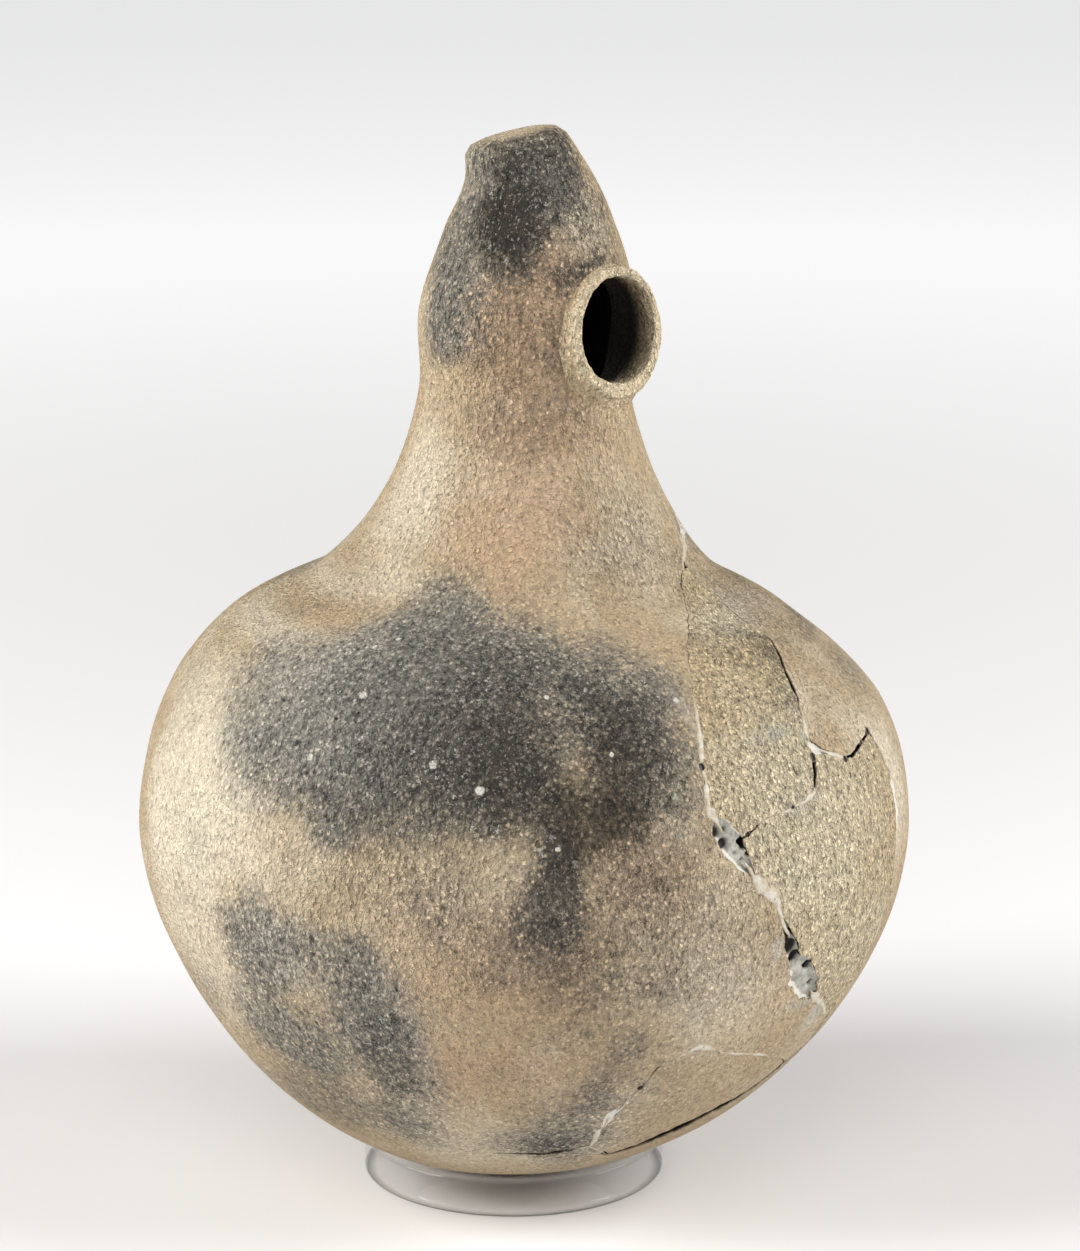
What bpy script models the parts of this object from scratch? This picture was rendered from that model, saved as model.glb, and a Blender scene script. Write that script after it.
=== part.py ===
"""Hooded jar: a coil-built clay bottle with a closed, leaning hood and a side mouth.

The jar was broken and mended: three sherds and six fills sit in the wall along the break lines.
Its rounded base cannot stand alone, so it rests in a clear display ring.
Metres, +Z up. The table is z = 0, the belly's axis is the Z axis and the mouth faces -Y.
"""

import math

import bmesh
import bpy
import numpy as np
from mathutils import Matrix, Vector
from mathutils.bvhtree import BVHTree

# Display ring
RING_DIAMETER = 0.0635
RING_WALL = 0.0032
RING_HEIGHT = 0.0079
RING_CHAMFER = 0.0004
SEAT_GAP = 0.0003

# Fired wall: thickness, rise of the cavity's crown, and drop of the base's middle below its seat on the ring
WALL = 0.0050
CROWN_RISE = 0.0060
BASE_DROP = 0.0037

# Outline of the wall above the seat: each station's radius, and its rise above the station below
FLANK_RADIUS = 0.0574
FLANK_RISE = 0.0198
BELLY_RADIUS = 0.0802
BELLY_RISE = 0.0513
UPPER_RADIUS = 0.0756
UPPER_RISE = 0.0217
SHOULDER_RADIUS = 0.0579
SHOULDER_RISE = 0.0204
THROAT_RADIUS = 0.0407
THROAT_RISE = 0.0101
NECK_RADIUS = 0.0283
NECK_RISE = 0.0165
WAIST_RADIUS = 0.0217
WAIST_RISE = 0.0200
HOOD_RADIUS = 0.0220
HOOD_RISE = 0.0180
CONE_RADIUS = 0.0171
CONE_RISE = 0.0160
STEM_RADIUS = 0.0116
STEM_RISE = 0.0123
LIP_RADIUS = 0.0098
LIP_RISE = 0.0048
TIP_RISE = 0.0012

# Hand-built lean: how far each station's centre stands off the belly's axis, along one direction
LEAN_TURN = 37.0
BASE_LEAN = -0.0023
FLANK_LEAN = -0.0005
UPPER_LEAN = -0.0003
SHOULDER_LEAN = -0.0031
THROAT_LEAN = -0.0016
NECK_LEAN = -0.0001
WAIST_LEAN = 0.0001
HOOD_LEAN = 0.0008
CONE_LEAN = 0.0014
STEM_LEAN = -0.0001
LIP_LEAN = -0.0019
TIP_SLOPE = 0.23

# Side mouth: a round bore that looks a little upwards, its middle placed by its rise above the waist
MOUTH_RADIUS = 0.0108
MOUTH_RISE = 0.0145
MOUTH_TILT = 5.0

# Collar: its lip stands proud of the wall above and below it, its root flares, and its outside sags
COLLAR_LIP = 0.0028
COLLAR_PROUD = 0.0011
COLLAR_DEPTH = 0.0060
COLLAR_FLARE = 0.0010
COLLAR_SAG = 0.0021
COLLAR_SAG_TURN = 13.0
COLLAR_OUTER_ROUND = 0.0010
COLLAR_INNER_ROUND = 0.0005
COLLAR_GAP = 0.0003

# Breaks: open gap between sherds, and the wider places that are filled or stand open
BREAK_GAP = 0.0004
OPEN_GAP = 0.0018
NECK_FILL_GAP = 0.0020
UPPER_FILL_GAP = 0.0046
LOWER_FILL_GAP = 0.0052
JUNCTION_FILL_GAP = 0.0028
SIDE_FILL_GAP = 0.0020
BASE_FILL_GAP = 0.0026
FILL_GAP = 0.0003
FILL_TIP = 0.0004
FILL_END_GAP = FILL_TIP + 2 * FILL_GAP

# Facets: counts, the longest step of a cut along a break, and how far a cutter runs past the wall
TURN_SEGMENTS = 48
ROWS_PER_SPAN = 3
CROWN_ROWS = 3
COLLAR_SEGMENTS = 32
ROUND_ROWS = 3
WALL_SAMPLES = 121
BREAK_STEP = 0.012
CUT_OVERRUN = 0.0030
SLOPE_STEP = 0.001
SHARP_ANGLE = 40.0

# Corners of a break's cutter on each of its sides; its two cheeks are split along matching diagonals
BLADE_SIDES = ((0, 1), (1, 2), (0, 3), (3, 2))

# Station numbers along the outline, from the middle of the base to the tip
WAIST = 8
CONE = 10
LIP = 12
TIP = 13

# Break lines: points (turn from the mouth in degrees, station along the outline, width of the gap)
MAIN_BREAK = [
    (36, 6.66, FILL_END_GAP),
    (29, 6.54, NECK_FILL_GAP),
    (21, 6.40, FILL_END_GAP),
    (12, 6.20, BREAK_GAP),
    (0, 5.85, BREAK_GAP),
    (-11, 5.30, BREAK_GAP),
    (-18, 4.75, BREAK_GAP),
    (-21, 4.50, BREAK_GAP),
    (-25, 4.20, BREAK_GAP),
    (-25, 3.84, FILL_END_GAP),
    (-23, 3.60, UPPER_FILL_GAP),
    (-21, 3.40, UPPER_FILL_GAP),
    (-18, 3.15, FILL_END_GAP),
    (-14, 2.91, FILL_END_GAP),
    (-11, 2.76, LOWER_FILL_GAP),
    (-7, 2.63, LOWER_FILL_GAP),
    (-1, 2.51, FILL_END_GAP),
    (10, 2.34, BREAK_GAP),
]
SIDE_BREAK = [
    (13, 6.24, BREAK_GAP),
    (13, 5.60, BREAK_GAP),
    (13, 5.00, BREAK_GAP),
    (6, 4.66, BREAK_GAP),
    (1, 4.40, FILL_END_GAP),
    (-2, 4.15, JUNCTION_FILL_GAP),
    (3, 4.02, FILL_END_GAP),
    (6, 3.97, BREAK_GAP),
    (11, 4.02, BREAK_GAP),
    (16, 4.07, BREAK_GAP),
    (18, 3.75, FILL_END_GAP),
    (19, 3.42, SIDE_FILL_GAP),
    (19, 3.10, FILL_END_GAP),
    (17, 2.84, BREAK_GAP),
    (16, 2.55, BREAK_GAP),
    (10, 2.34, BREAK_GAP),
]
CROSS_BREAK = [
    (-2, 4.15, FILL_END_GAP),
    (-4, 3.90, BREAK_GAP),
    (-6, 3.74, BREAK_GAP),
    (-15, 3.69, BREAK_GAP),
    (-22, 3.50, BREAK_GAP),
]
BASE_BREAK = [
    (-59, 1.68, BREAK_GAP),
    (-47, 1.67, BREAK_GAP),
    (-37, 1.75, BREAK_GAP),
    (-37, 1.97, FILL_END_GAP),
    (-36, 2.10, BASE_FILL_GAP),
    (-34, 2.18, FILL_END_GAP),
    (-30, 2.34, BREAK_GAP),
    (-24, 2.43, BREAK_GAP),
    (-20, 2.38, BREAK_GAP),
    (-9, 2.30, BREAK_GAP),
    (6, 2.14, BREAK_GAP),
]
LOWER_BREAK = [
    (10, 2.34, BREAK_GAP),
    (12, 2.21, BREAK_GAP),
    (6, 2.14, BREAK_GAP),
    (0, 2.02, OPEN_GAP),
    (-10, 1.88, OPEN_GAP),
    (-20, 1.68, OPEN_GAP),
    (-29, 1.55, BREAK_GAP),
    (-37, 1.75, BREAK_GAP),
]
BREAKS = [MAIN_BREAK, SIDE_BREAK, CROSS_BREAK, BASE_BREAK, LOWER_BREAK]

# Fills: the stretch of a break that each lies in
FILLS = {
    "neck_fill": MAIN_BREAK[0:3],
    "upper_fill": MAIN_BREAK[9:13],
    "lower_fill": MAIN_BREAK[13:17],
    "junction_fill": SIDE_BREAK[4:7],
    "side_fill": SIDE_BREAK[10:13],
    "base_fill": BASE_BREAK[3:6],
}

# Pieces of the broken wall: a place (turn, station) that lies on each
WALL_PIECES = {
    "vessel_body": (180, 3.0),
    "shoulder_sherd": (-6, 4.6),
    "side_sherd": (4, 3.2),
    "base_edge_sherd": (-18, 2.05),
}

# Materials: base colour, roughness
BUFF_CLAY = ("buff_clay", (0.50, 0.36, 0.22, 1.0), 0.85)
COLLAR_CLAY = ("collar_clay", (0.52, 0.37, 0.20, 1.0), 0.85)
YELLOW_CLAY = ("yellow_clay", (0.48, 0.36, 0.19, 1.0), 0.88)
GREY_FILL = ("grey_fill", (0.50, 0.50, 0.46, 1.0), 0.70)
CLEAR_ACRYLIC = ("clear_acrylic", (0.85, 0.88, 0.88, 1.0), 0.05)


def stations():
    """Radius, height and lean of each station, from the middle of the base up to the tip."""
    seat_radius = RING_DIAMETER / 2 - RING_WALL
    seat_height = RING_HEIGHT + SEAT_GAP
    rows = [(0.0, seat_height - BASE_DROP, BASE_LEAN), (seat_radius, seat_height, BASE_LEAN)]
    above = [
        (FLANK_RADIUS, FLANK_RISE, FLANK_LEAN),
        (BELLY_RADIUS, BELLY_RISE, 0.0),
        (UPPER_RADIUS, UPPER_RISE, UPPER_LEAN),
        (SHOULDER_RADIUS, SHOULDER_RISE, SHOULDER_LEAN),
        (THROAT_RADIUS, THROAT_RISE, THROAT_LEAN),
        (NECK_RADIUS, NECK_RISE, NECK_LEAN),
        (WAIST_RADIUS, WAIST_RISE, WAIST_LEAN),
        (HOOD_RADIUS, HOOD_RISE, HOOD_LEAN),
        (CONE_RADIUS, CONE_RISE, CONE_LEAN),
        (STEM_RADIUS, STEM_RISE, STEM_LEAN),
        (LIP_RADIUS, LIP_RISE, LIP_LEAN),
        (0.0, TIP_RISE, LIP_LEAN),
    ]
    height = seat_height
    for radius, rise, lean in above:
        height += rise
        rows.append((radius, height, lean))
    return np.array(rows)


STATIONS = stations()


def knots_and_tangents():
    """Chord length of each span of the outline, and the tangent at each station; both ends lie level."""
    chords = np.linalg.norm(np.diff(STATIONS[:, :2], axis=0), axis=1)
    slopes = np.diff(STATIONS, axis=0) / chords[:, None]
    before = chords[:-1, None]
    after = chords[1:, None]
    tangents = np.zeros_like(STATIONS)
    tangents[1:-1] = (slopes[:-1] * after + slopes[1:] * before) / (before + after)
    tangents[0] = (1.0, 0.0, 0.0)
    tangents[-1] = (-1.0, 0.0, 0.0)
    return chords, tangents


CHORDS, TANGENTS = knots_and_tangents()


def outline(station):
    """Radius, height and lean at a station number: a cubic through the stations on either side."""
    first = min(int(station), len(CHORDS) - 1)
    u = station - first
    start = (2 * u**3 - 3 * u**2 + 1) * STATIONS[first]
    end = (3 * u**2 - 2 * u**3) * STATIONS[first + 1]
    leave = (u**3 - 2 * u**2 + u) * CHORDS[first] * TANGENTS[first]
    arrive = (u**3 - u**2) * CHORDS[first] * TANGENTS[first + 1]
    return start + end + leave + arrive


def outward(station):
    """Radius and height parts of the outline's outward normal."""
    run = outline(min(station + SLOPE_STEP, TIP)) - outline(max(station - SLOPE_STEP, 0))
    normal = np.array([run[1], -run[0]])
    return normal / np.linalg.norm(normal)


def direction(turn):
    """Level unit vector at an angle from the mouth, counted from -Y towards +X."""
    angle = math.radians(turn)
    return Vector((math.sin(angle), -math.cos(angle), 0.0))


def tilt(height):
    """Sideways slope of the wall's rings: level up to the cone, and the tip's full slope from the lip on."""
    start = STATIONS[CONE][1]
    share = (height - start) / (STATIONS[LIP][1] - start)
    return TIP_SLOPE * min(max(share, 0.0), 1.0)


def ring_point(radius, height, lean, turn):
    """A point on a leaning, tilted ring of the wall."""
    level = direction(LEAN_TURN) * lean + direction(turn) * radius
    lift = tilt(height) * radius * math.cos(math.radians(turn - LEAN_TURN))
    return Vector((level.x, level.y, height + lift))


def wall_point(turn, station, depth=0.0):
    """A point on the wall's outer face, or at a depth below it."""
    radius, height, lean = outline(station)
    normal = outward(station)
    return ring_point(radius - depth * normal[0], height - depth * normal[1], lean, turn)


def wall_normal(turn, station):
    """Outward direction of the wall's outer face."""
    normal = outward(station)
    level = direction(turn) * normal[0]
    return Vector((level.x, level.y, normal[1])).normalized()


def material(name, colour, roughness):
    """A Principled material, made once."""
    found = bpy.data.materials.get(name)
    if found:
        return found
    made = bpy.data.materials.new(name)
    made.use_nodes = True
    shader = made.node_tree.nodes["Principled BSDF"]
    shader.inputs["Base Color"].default_value = colour
    shader.inputs["Roughness"].default_value = roughness
    shader.inputs["Metallic"].default_value = 0.0
    return made


def add_object(name, mesh, finish=None):
    """Put a mesh into the scene as a named object; smooth faces meet at soft edges only."""
    made = bpy.data.objects.new(name, mesh)
    bpy.context.scene.collection.objects.link(made)
    if finish:
        mesh.materials.clear()
        mesh.materials.append(material(*finish))
        mesh.shade_smooth()
        mesh.set_sharp_from_angle(angle=math.radians(SHARP_ANGLE))
    return made


def mesh_from(bm, name):
    """Turn a bmesh into a mesh."""
    mesh = bpy.data.meshes.new(name)
    bm.to_mesh(mesh)
    bm.free()
    return mesh


def cutter(name, mesh):
    """A tool body: it cuts other pieces and is not a piece itself."""
    made = add_object(name, mesh)
    made.hide_render = True
    made.display_type = "WIRE"
    return made


def boolean(target, operation, *tools):
    """Add one exact Boolean modifier that takes its tools together."""
    group = bpy.data.collections.new(target.name + "_tools")
    for tool in tools:
        group.objects.link(tool)
    modifier = target.modifiers.new(tools[0].name, "BOOLEAN")
    modifier.operation = operation
    modifier.solver = "EXACT"
    modifier.operand_type = "COLLECTION"
    modifier.collection = group


def evaluated_mesh(target):
    """The mesh that an object's modifiers give."""
    graph = bpy.context.evaluated_depsgraph_get()
    return bpy.data.meshes.new_from_object(target.evaluated_get(graph))


def loft(bm, rings, outwards=True, closed=False):
    """Skin closed rings from first to last, or on to the first again; a ring of one point is a pole."""
    rows = [[bm.verts.new(point) for point in ring] for ring in rings]
    following = rows[1:] + rows[:1] if closed else rows[1:]
    for low, high in zip(rows, following):
        count = max(len(low), len(high))
        for i in range(count):
            j = (i + 1) % count
            corners = [low[i % len(low)], low[j % len(low)], high[j % len(high)], high[i % len(high)]]
            face = list(dict.fromkeys(corners))
            bm.faces.new(face if outwards else face[::-1])


def whole_ring(radius, height, lean):
    """One ring of points around the wall, or its pole."""
    if radius <= 0.0:
        return [ring_point(0.0, height, lean, 0.0)]
    turns = np.arange(TURN_SEGMENTS) * 360.0 / TURN_SEGMENTS
    return [ring_point(radius, height, lean, turn) for turn in turns]


def outer_rings(grow=0.0):
    """Rings of the outer face from the base to the tip, moved outwards by a clearance."""
    rings = []
    for station in np.linspace(0, TIP, TIP * ROWS_PER_SPAN + 1):
        radius, height, lean = outline(station)
        normal = outward(station)
        at_pole = station in (0, TIP)
        grown = 0.0 if at_pole else radius + grow * normal[0]
        rings.append(whole_ring(grown, height + grow * normal[1], lean))
    return rings


def cavity_rings():
    """Rings of the inner face: the wall's thickness inside the outer face, closed by a crown under the stem."""
    rings = []
    for station in np.linspace(0, CONE, CONE * ROWS_PER_SPAN + 1):
        radius, height, lean = outline(station)
        normal = outward(station)
        inner = 0.0 if station == 0 else radius - WALL * normal[0]
        height -= WALL * normal[1]
        rings.append(whole_ring(inner, height, lean))
    for angle in np.linspace(0, math.pi / 2, CROWN_ROWS + 1)[1:-1]:
        rings.append(whole_ring(inner * math.cos(angle), height + CROWN_RISE * math.sin(angle), lean))
    rings.append(whole_ring(0.0, height + CROWN_RISE, lean))
    return rings


def turned(bm, profile, segments):
    """Spin a closed profile of (radius, height) points about the local Z axis."""
    verts = [bm.verts.new((radius, 0.0, height)) for radius, height in profile]
    edges = [bm.edges.new(pair) for pair in zip(verts, verts[1:] + verts[:1])]
    bmesh.ops.spin(
        bm,
        geom=verts + edges,
        cent=(0, 0, 0),
        axis=(0, 0, 1),
        angle=2 * math.pi,
        steps=segments,
        use_merge=True,
    )
    bmesh.ops.recalc_face_normals(bm, faces=bm.faces)


def refined(points):
    """Split a break line's long stretches so that its blade follows the curved wall."""
    fine = [points[0]]
    for start, end in zip(points, points[1:]):
        run = (wall_point(*end[:2]) - wall_point(*start[:2])).length
        pieces = max(1, math.ceil(run / BREAK_STEP))
        for i in range(1, pieces + 1):
            fine.append(tuple(np.array(start) + (np.array(end) - np.array(start)) * i / pieces))
    return fine


def blade(name, points, narrow=0.0, lengthen=0.0):
    """A strip through the wall along a break line, as wide as the break less a clearance on each side.

    Its ends can be lengthened, so that blades which meet at one point overlap there.
    """
    points = refined(points)
    spots = [wall_point(turn, station) for turn, station, _ in points]
    last = len(spots) - 1
    rings = []
    for i, (turn, station, gap) in enumerate(points):
        normal = wall_normal(turn, station)
        run = spots[min(i + 1, last)] - spots[max(i - 1, 0)]
        run = (run - run.project(normal)).normalized()
        spot = spots[i] + run * lengthen * ((i == last) - (i == 0))
        side = run.cross(normal) * (gap / 2 - narrow)
        top = spot + normal * CUT_OVERRUN
        bottom = spot - normal * (WALL + CUT_OVERRUN)
        rings.append([top + side, top - side, bottom - side, bottom + side])
    bm = bmesh.new()
    rows = [[bm.verts.new(point) for point in ring] for ring in rings]
    for low, high in zip(rows, rows[1:]):
        for a, b in BLADE_SIDES:
            bm.faces.new((low[a], low[b], high[b], high[a]))
    bm.faces.new(rows[0])
    bm.faces.new(rows[-1])
    bmesh.ops.triangulate(bm, faces=bm.faces, quad_method="FIXED")
    bmesh.ops.recalc_face_normals(bm, faces=bm.faces)
    return cutter(name, mesh_from(bm, name))


def islands(mesh):
    """Split a mesh into its separate closed bodies."""
    bm = bmesh.new()
    bm.from_mesh(mesh)
    left = set(bm.verts)
    bodies = []
    while left:
        body = set()
        queue = [left.pop()]
        while queue:
            vert = queue.pop()
            body.add(vert)
            near = [edge.other_vert(vert) for edge in vert.link_edges]
            fresh = [other for other in near if other in left]
            left.difference_update(fresh)
            queue.extend(fresh)
        bodies.append(body)
    meshes = []
    for body in bodies:
        part = bm.copy()
        keep = {vert.index for vert in body}
        bmesh.ops.delete(part, geom=[v for v in part.verts if v.index not in keep], context="VERTS")
        meshes.append(mesh_from(part, "wall_piece"))
    bm.free()
    return meshes


def display_ring():
    """Clear ring that the base sits in: a sawn tube with broken edges."""
    outer = RING_DIAMETER / 2
    inner = outer - RING_WALL
    cut = RING_CHAMFER
    profile = [
        (inner + cut, 0.0),
        (outer - cut, 0.0),
        (outer, cut),
        (outer, RING_HEIGHT - cut),
        (outer - cut, RING_HEIGHT),
        (inner + cut, RING_HEIGHT),
        (inner, RING_HEIGHT - cut),
        (inner, cut),
    ]
    bm = bmesh.new()
    turned(bm, profile, TURN_SEGMENTS)
    ring = add_object("display_ring", mesh_from(bm, "display_ring"), CLEAR_ACRYLIC)
    ring.location = direction(LEAN_TURN) * BASE_LEAN
    return ring


def mouth_place():
    """Start of the mouth's axis inside the hood, and the distance along it to the collar's lip."""
    height = STATIONS[WAIST][1] + MOUTH_RISE
    span = np.linspace(WAIST - 1, CONE, WALL_SAMPLES)
    rows = np.array([outline(station) for station in span])
    lean = np.interp(height, rows[:, 1], rows[:, 2])
    centre = direction(LEAN_TURN) * lean
    reach = MOUTH_RADIUS + COLLAR_LIP + COLLAR_FLARE + 2 * COLLAR_SAG
    behind = [s for s, row in zip(span, rows) if MOUTH_RADIUS <= abs(row[1] - height) <= reach]
    widest = max(-wall_point(0.0, station).y for station in behind)
    level = widest + COLLAR_PROUD + centre.y
    tilt_angle = math.radians(MOUTH_TILT)
    start = Vector((centre.x, centre.y, height - level * math.tan(tilt_angle)))
    return start, level / math.cos(tilt_angle)


def mouth_turn():
    """Rotation that lays the local Z axis along the mouth, which faces -Y and looks a little upwards."""
    return (math.radians(90.0 - MOUTH_TILT), 0.0, 0.0)


def mouth_bore(place, distance):
    """Cutter for the round mouth through the hood's wall."""
    bm = bmesh.new()
    length = distance + CUT_OVERRUN
    bmesh.ops.create_cone(
        bm,
        cap_ends=True,
        segments=COLLAR_SEGMENTS,
        radius1=MOUTH_RADIUS,
        radius2=MOUTH_RADIUS,
        depth=length,
        matrix=Matrix.Translation((0, 0, length / 2)),
    )
    bore = cutter("mouth_bore", mesh_from(bm, "mouth_bore"))
    bore.location = place
    bore.rotation_euler = mouth_turn()
    return bore


def collar_ring(radius, along, sag=0.0):
    """A ring of the collar about the mouth's axis; with a sag it is drawn out to an oval on its low side."""
    low = math.radians(COLLAR_SAG_TURN - 90.0)
    points = []
    for turn in np.arange(COLLAR_SEGMENTS) * 2 * math.pi / COLLAR_SEGMENTS:
        drop = sag * (1 + math.cos(turn - low))
        across = radius * math.cos(turn) + drop * math.cos(low)
        up = radius * math.sin(turn) + drop * math.sin(low)
        points.append((across, up, along))
    return points


def mouth_collar(place, distance):
    """Coil of clay luted round the mouth: a short tube, seated on the hood's curve.

    Its outside is an oval that hangs lower than the bore, so that it runs out into the neck.
    """
    lip = MOUTH_RADIUS + COLLAR_LIP
    root = distance - COLLAR_DEPTH
    rings = [
        collar_ring(lip + COLLAR_FLARE, root / 2, COLLAR_SAG),
        collar_ring(lip + COLLAR_FLARE, root, COLLAR_SAG),
    ]
    for angle in np.linspace(0, math.pi / 2, ROUND_ROWS):
        inset = COLLAR_OUTER_ROUND * (1 - math.cos(angle))
        below = COLLAR_OUTER_ROUND * (1 - math.sin(angle))
        rings.append(collar_ring(lip - inset, distance - below, COLLAR_SAG))
    rings.append(collar_ring(MOUTH_RADIUS + COLLAR_INNER_ROUND, distance))
    rings.append(collar_ring(MOUTH_RADIUS, distance - COLLAR_INNER_ROUND))
    rings.append(collar_ring(MOUTH_RADIUS, root / 2))
    bm = bmesh.new()
    loft(bm, rings, closed=True)
    collar = add_object("mouth_collar", mesh_from(bm, "mouth_collar"), COLLAR_CLAY)
    collar.location = place
    collar.rotation_euler = mouth_turn()
    seat = bmesh.new()
    loft(seat, outer_rings(COLLAR_GAP))
    boolean(collar, "DIFFERENCE", cutter("hood_seat", mesh_from(seat, "hood_seat")))
    return collar


def fired_shell(bore):
    """The whole unbroken wall: outer face, cavity and mouth."""
    bm = bmesh.new()
    loft(bm, outer_rings())
    loft(bm, cavity_rings(), outwards=False)
    shell = cutter("fired_shell", mesh_from(bm, "fired_shell"))
    boolean(shell, "DIFFERENCE", bore)
    return shell


def fills(shell):
    """Hard fills in the wide places of the breaks, as thick as the wall."""
    made = []
    for name, points in FILLS.items():
        strip = blade(name + "_strip", points, narrow=FILL_GAP)
        boolean(strip, "INTERSECT", shell)
        made.append(add_object(name, evaluated_mesh(strip), GREY_FILL))
    return made


def wall_pieces(shell):
    """Cut the wall along its breaks and name each loose piece by a place that lies on it."""
    blades = [blade(f"break_{i}", points, lengthen=BREAK_GAP) for i, points in enumerate(BREAKS)]
    boolean(shell, "DIFFERENCE", *blades)
    meshes = islands(evaluated_mesh(shell))
    trees = []
    for mesh in meshes:
        vertices = [vertex.co for vertex in mesh.vertices]
        trees.append(BVHTree.FromPolygons(vertices, [face.vertices for face in mesh.polygons]))
    made = []
    for name, (turn, station) in WALL_PIECES.items():
        place = wall_point(turn, station)
        nearest = min(range(len(trees)), key=lambda i: trees[i].find_nearest(place)[3])
        finish = BUFF_CLAY if name == "vessel_body" else YELLOW_CLAY
        made.append(add_object(name, meshes[nearest], finish))
    return made


def main():
    for old in list(bpy.data.objects):
        bpy.data.objects.remove(old, do_unlink=True)
    display_ring()
    place, distance = mouth_place()
    shell = fired_shell(mouth_bore(place, distance))
    jar = bpy.data.objects.new("jar", None)
    bpy.context.scene.collection.objects.link(jar)
    for piece in fills(shell) + wall_pieces(shell) + [mouth_collar(place, distance)]:
        piece.parent = jar


main()
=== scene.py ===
import itertools
from types import SimpleNamespace

import bpy
import numpy as np
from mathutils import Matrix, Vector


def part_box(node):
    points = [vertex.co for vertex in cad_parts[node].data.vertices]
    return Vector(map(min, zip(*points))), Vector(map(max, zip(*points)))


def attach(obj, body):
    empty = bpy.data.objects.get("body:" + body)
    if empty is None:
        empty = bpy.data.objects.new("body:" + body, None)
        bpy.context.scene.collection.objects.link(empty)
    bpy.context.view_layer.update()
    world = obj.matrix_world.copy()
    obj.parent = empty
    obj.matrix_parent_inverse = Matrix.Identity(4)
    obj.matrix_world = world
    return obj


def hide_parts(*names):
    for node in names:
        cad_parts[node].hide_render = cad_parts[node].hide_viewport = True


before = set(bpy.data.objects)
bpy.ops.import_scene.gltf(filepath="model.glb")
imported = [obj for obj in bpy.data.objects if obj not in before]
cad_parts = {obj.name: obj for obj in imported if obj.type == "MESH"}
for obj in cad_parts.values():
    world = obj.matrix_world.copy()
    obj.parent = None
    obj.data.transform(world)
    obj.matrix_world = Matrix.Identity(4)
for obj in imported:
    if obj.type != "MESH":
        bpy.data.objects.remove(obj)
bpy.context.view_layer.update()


# The jar's wall: a vessel built up from coils of sandy clay, scraped and rubbed smooth, with a hood
# drawn shut over the neck, and fired in the open, where fuel that lay against it smoked it grey.
# It broke at one side, so this shell has the holes that its sherds were later set back into.

# Radius, height and sideways lean of the wall's outside, from the base up to the tip. Here and below,
# lengths are in metres where no other unit is given.
WALL_STATIONS = np.array([
    (0.0000, 0.0045, -0.0023),  # middle of the base
    (0.02855, 0.0082, -0.0023),  # seat on the ring
    (0.0574, 0.0280, -0.0005),  # flank
    (0.0802, 0.0793, 0.0000),  # belly
    (0.0756, 0.1010, -0.0003),  # upper belly
    (0.0579, 0.1214, -0.0031),  # shoulder
    (0.0407, 0.1315, -0.0016),  # throat
    (0.0283, 0.1480, -0.0001),  # neck
    (0.0217, 0.1680, 0.0001),  # waist
    (0.0220, 0.1860, 0.0008),  # hood
    (0.0171, 0.2020, 0.0014),  # cone
    (0.0116, 0.2143, -0.0001),  # stem
    (0.0098, 0.2191, -0.0019),  # lip
    (0.0000, 0.2203, -0.0019),  # tip
])
THROAT, NECK, HOOD, CONE, LIP, TIP = 6, 7, 9, 10, 12, 13  # numbers of those stations
LEAN_ANGLE = np.radians(37.0)
LEAN_WAY = np.array([np.sin(LEAN_ANGLE), -np.cos(LEAN_ANGLE)])
TIP_SLOPE = 0.23  # how far the tip's end rises for each length across it
WALL = 0.0050  # thickness
CROWN_RISE = 0.0060  # how far above the cone the hollow closes
SLOPE_STEP = 0.002  # stations to each side of a place, between which its slope is taken
station_spans = np.linalg.norm(np.diff(WALL_STATIONS[:, :2], axis=0), axis=1)


def outline(station):
    """Radius, height and lean at a station number: between two stations a cubic Hermite curve, with
    tangents that average the two slopes at a station, each weighted by the other span's length."""
    spans = station_spans[:, None]
    slopes = np.diff(WALL_STATIONS, axis=0) / spans
    level = np.array([[1.0, 0.0, 0.0]])
    middle = (slopes[:-1] * spans[1:] + slopes[1:] * spans[:-1]) / (spans[1:] + spans[:-1])
    tangents = np.concatenate([level, middle, -level])
    station = np.asarray(station, float)
    first = np.clip(station.astype(int), 0, TIP - 1)
    u = (station - first)[..., None]
    return (
        (2 * u**3 - 3 * u**2 + 1) * WALL_STATIONS[first]
        + (u**3 - 2 * u**2 + u) * spans[first] * tangents[first]
        + (3 * u**2 - 2 * u**3) * WALL_STATIONS[first + 1]
        + (u**3 - u**2) * spans[first] * tangents[first + 1]
    )


def wall(turn, station):
    """Points and outward normals of the wall: the outline at a station, turned by degrees from the
    mouth's side about its leaning middle, and sheared above the cone so that the tip slopes."""
    radius, height, lean = np.moveaxis(outline(station), -1, 0)
    rise = outline(np.minimum(station + SLOPE_STEP, TIP)) - outline(np.maximum(station - SLOPE_STEP, 0))
    rise = rise[..., :2] / np.linalg.norm(rise[..., :2], axis=-1, keepdims=True)
    angle = np.radians(turn)
    share = (height - WALL_STATIONS[CONE, 1]) / (WALL_STATIONS[LIP, 1] - WALL_STATIONS[CONE, 1])
    lift = TIP_SLOPE * np.clip(share, 0, 1) * radius * np.cos(angle - LEAN_ANGLE)
    x = lean * LEAN_WAY[0] + radius * np.sin(angle)
    y = lean * LEAN_WAY[1] - radius * np.cos(angle)
    normal = np.stack([rise[..., 1] * np.sin(angle), -rise[..., 1] * np.cos(angle), -rise[..., 0]], -1)
    return np.stack([x, y, height + lift], -1), normal


def wall_point(turn, station):
    """The wall's one point at a turn and station."""
    return wall(np.array(float(turn)), np.array(float(station)))[0]


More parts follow.
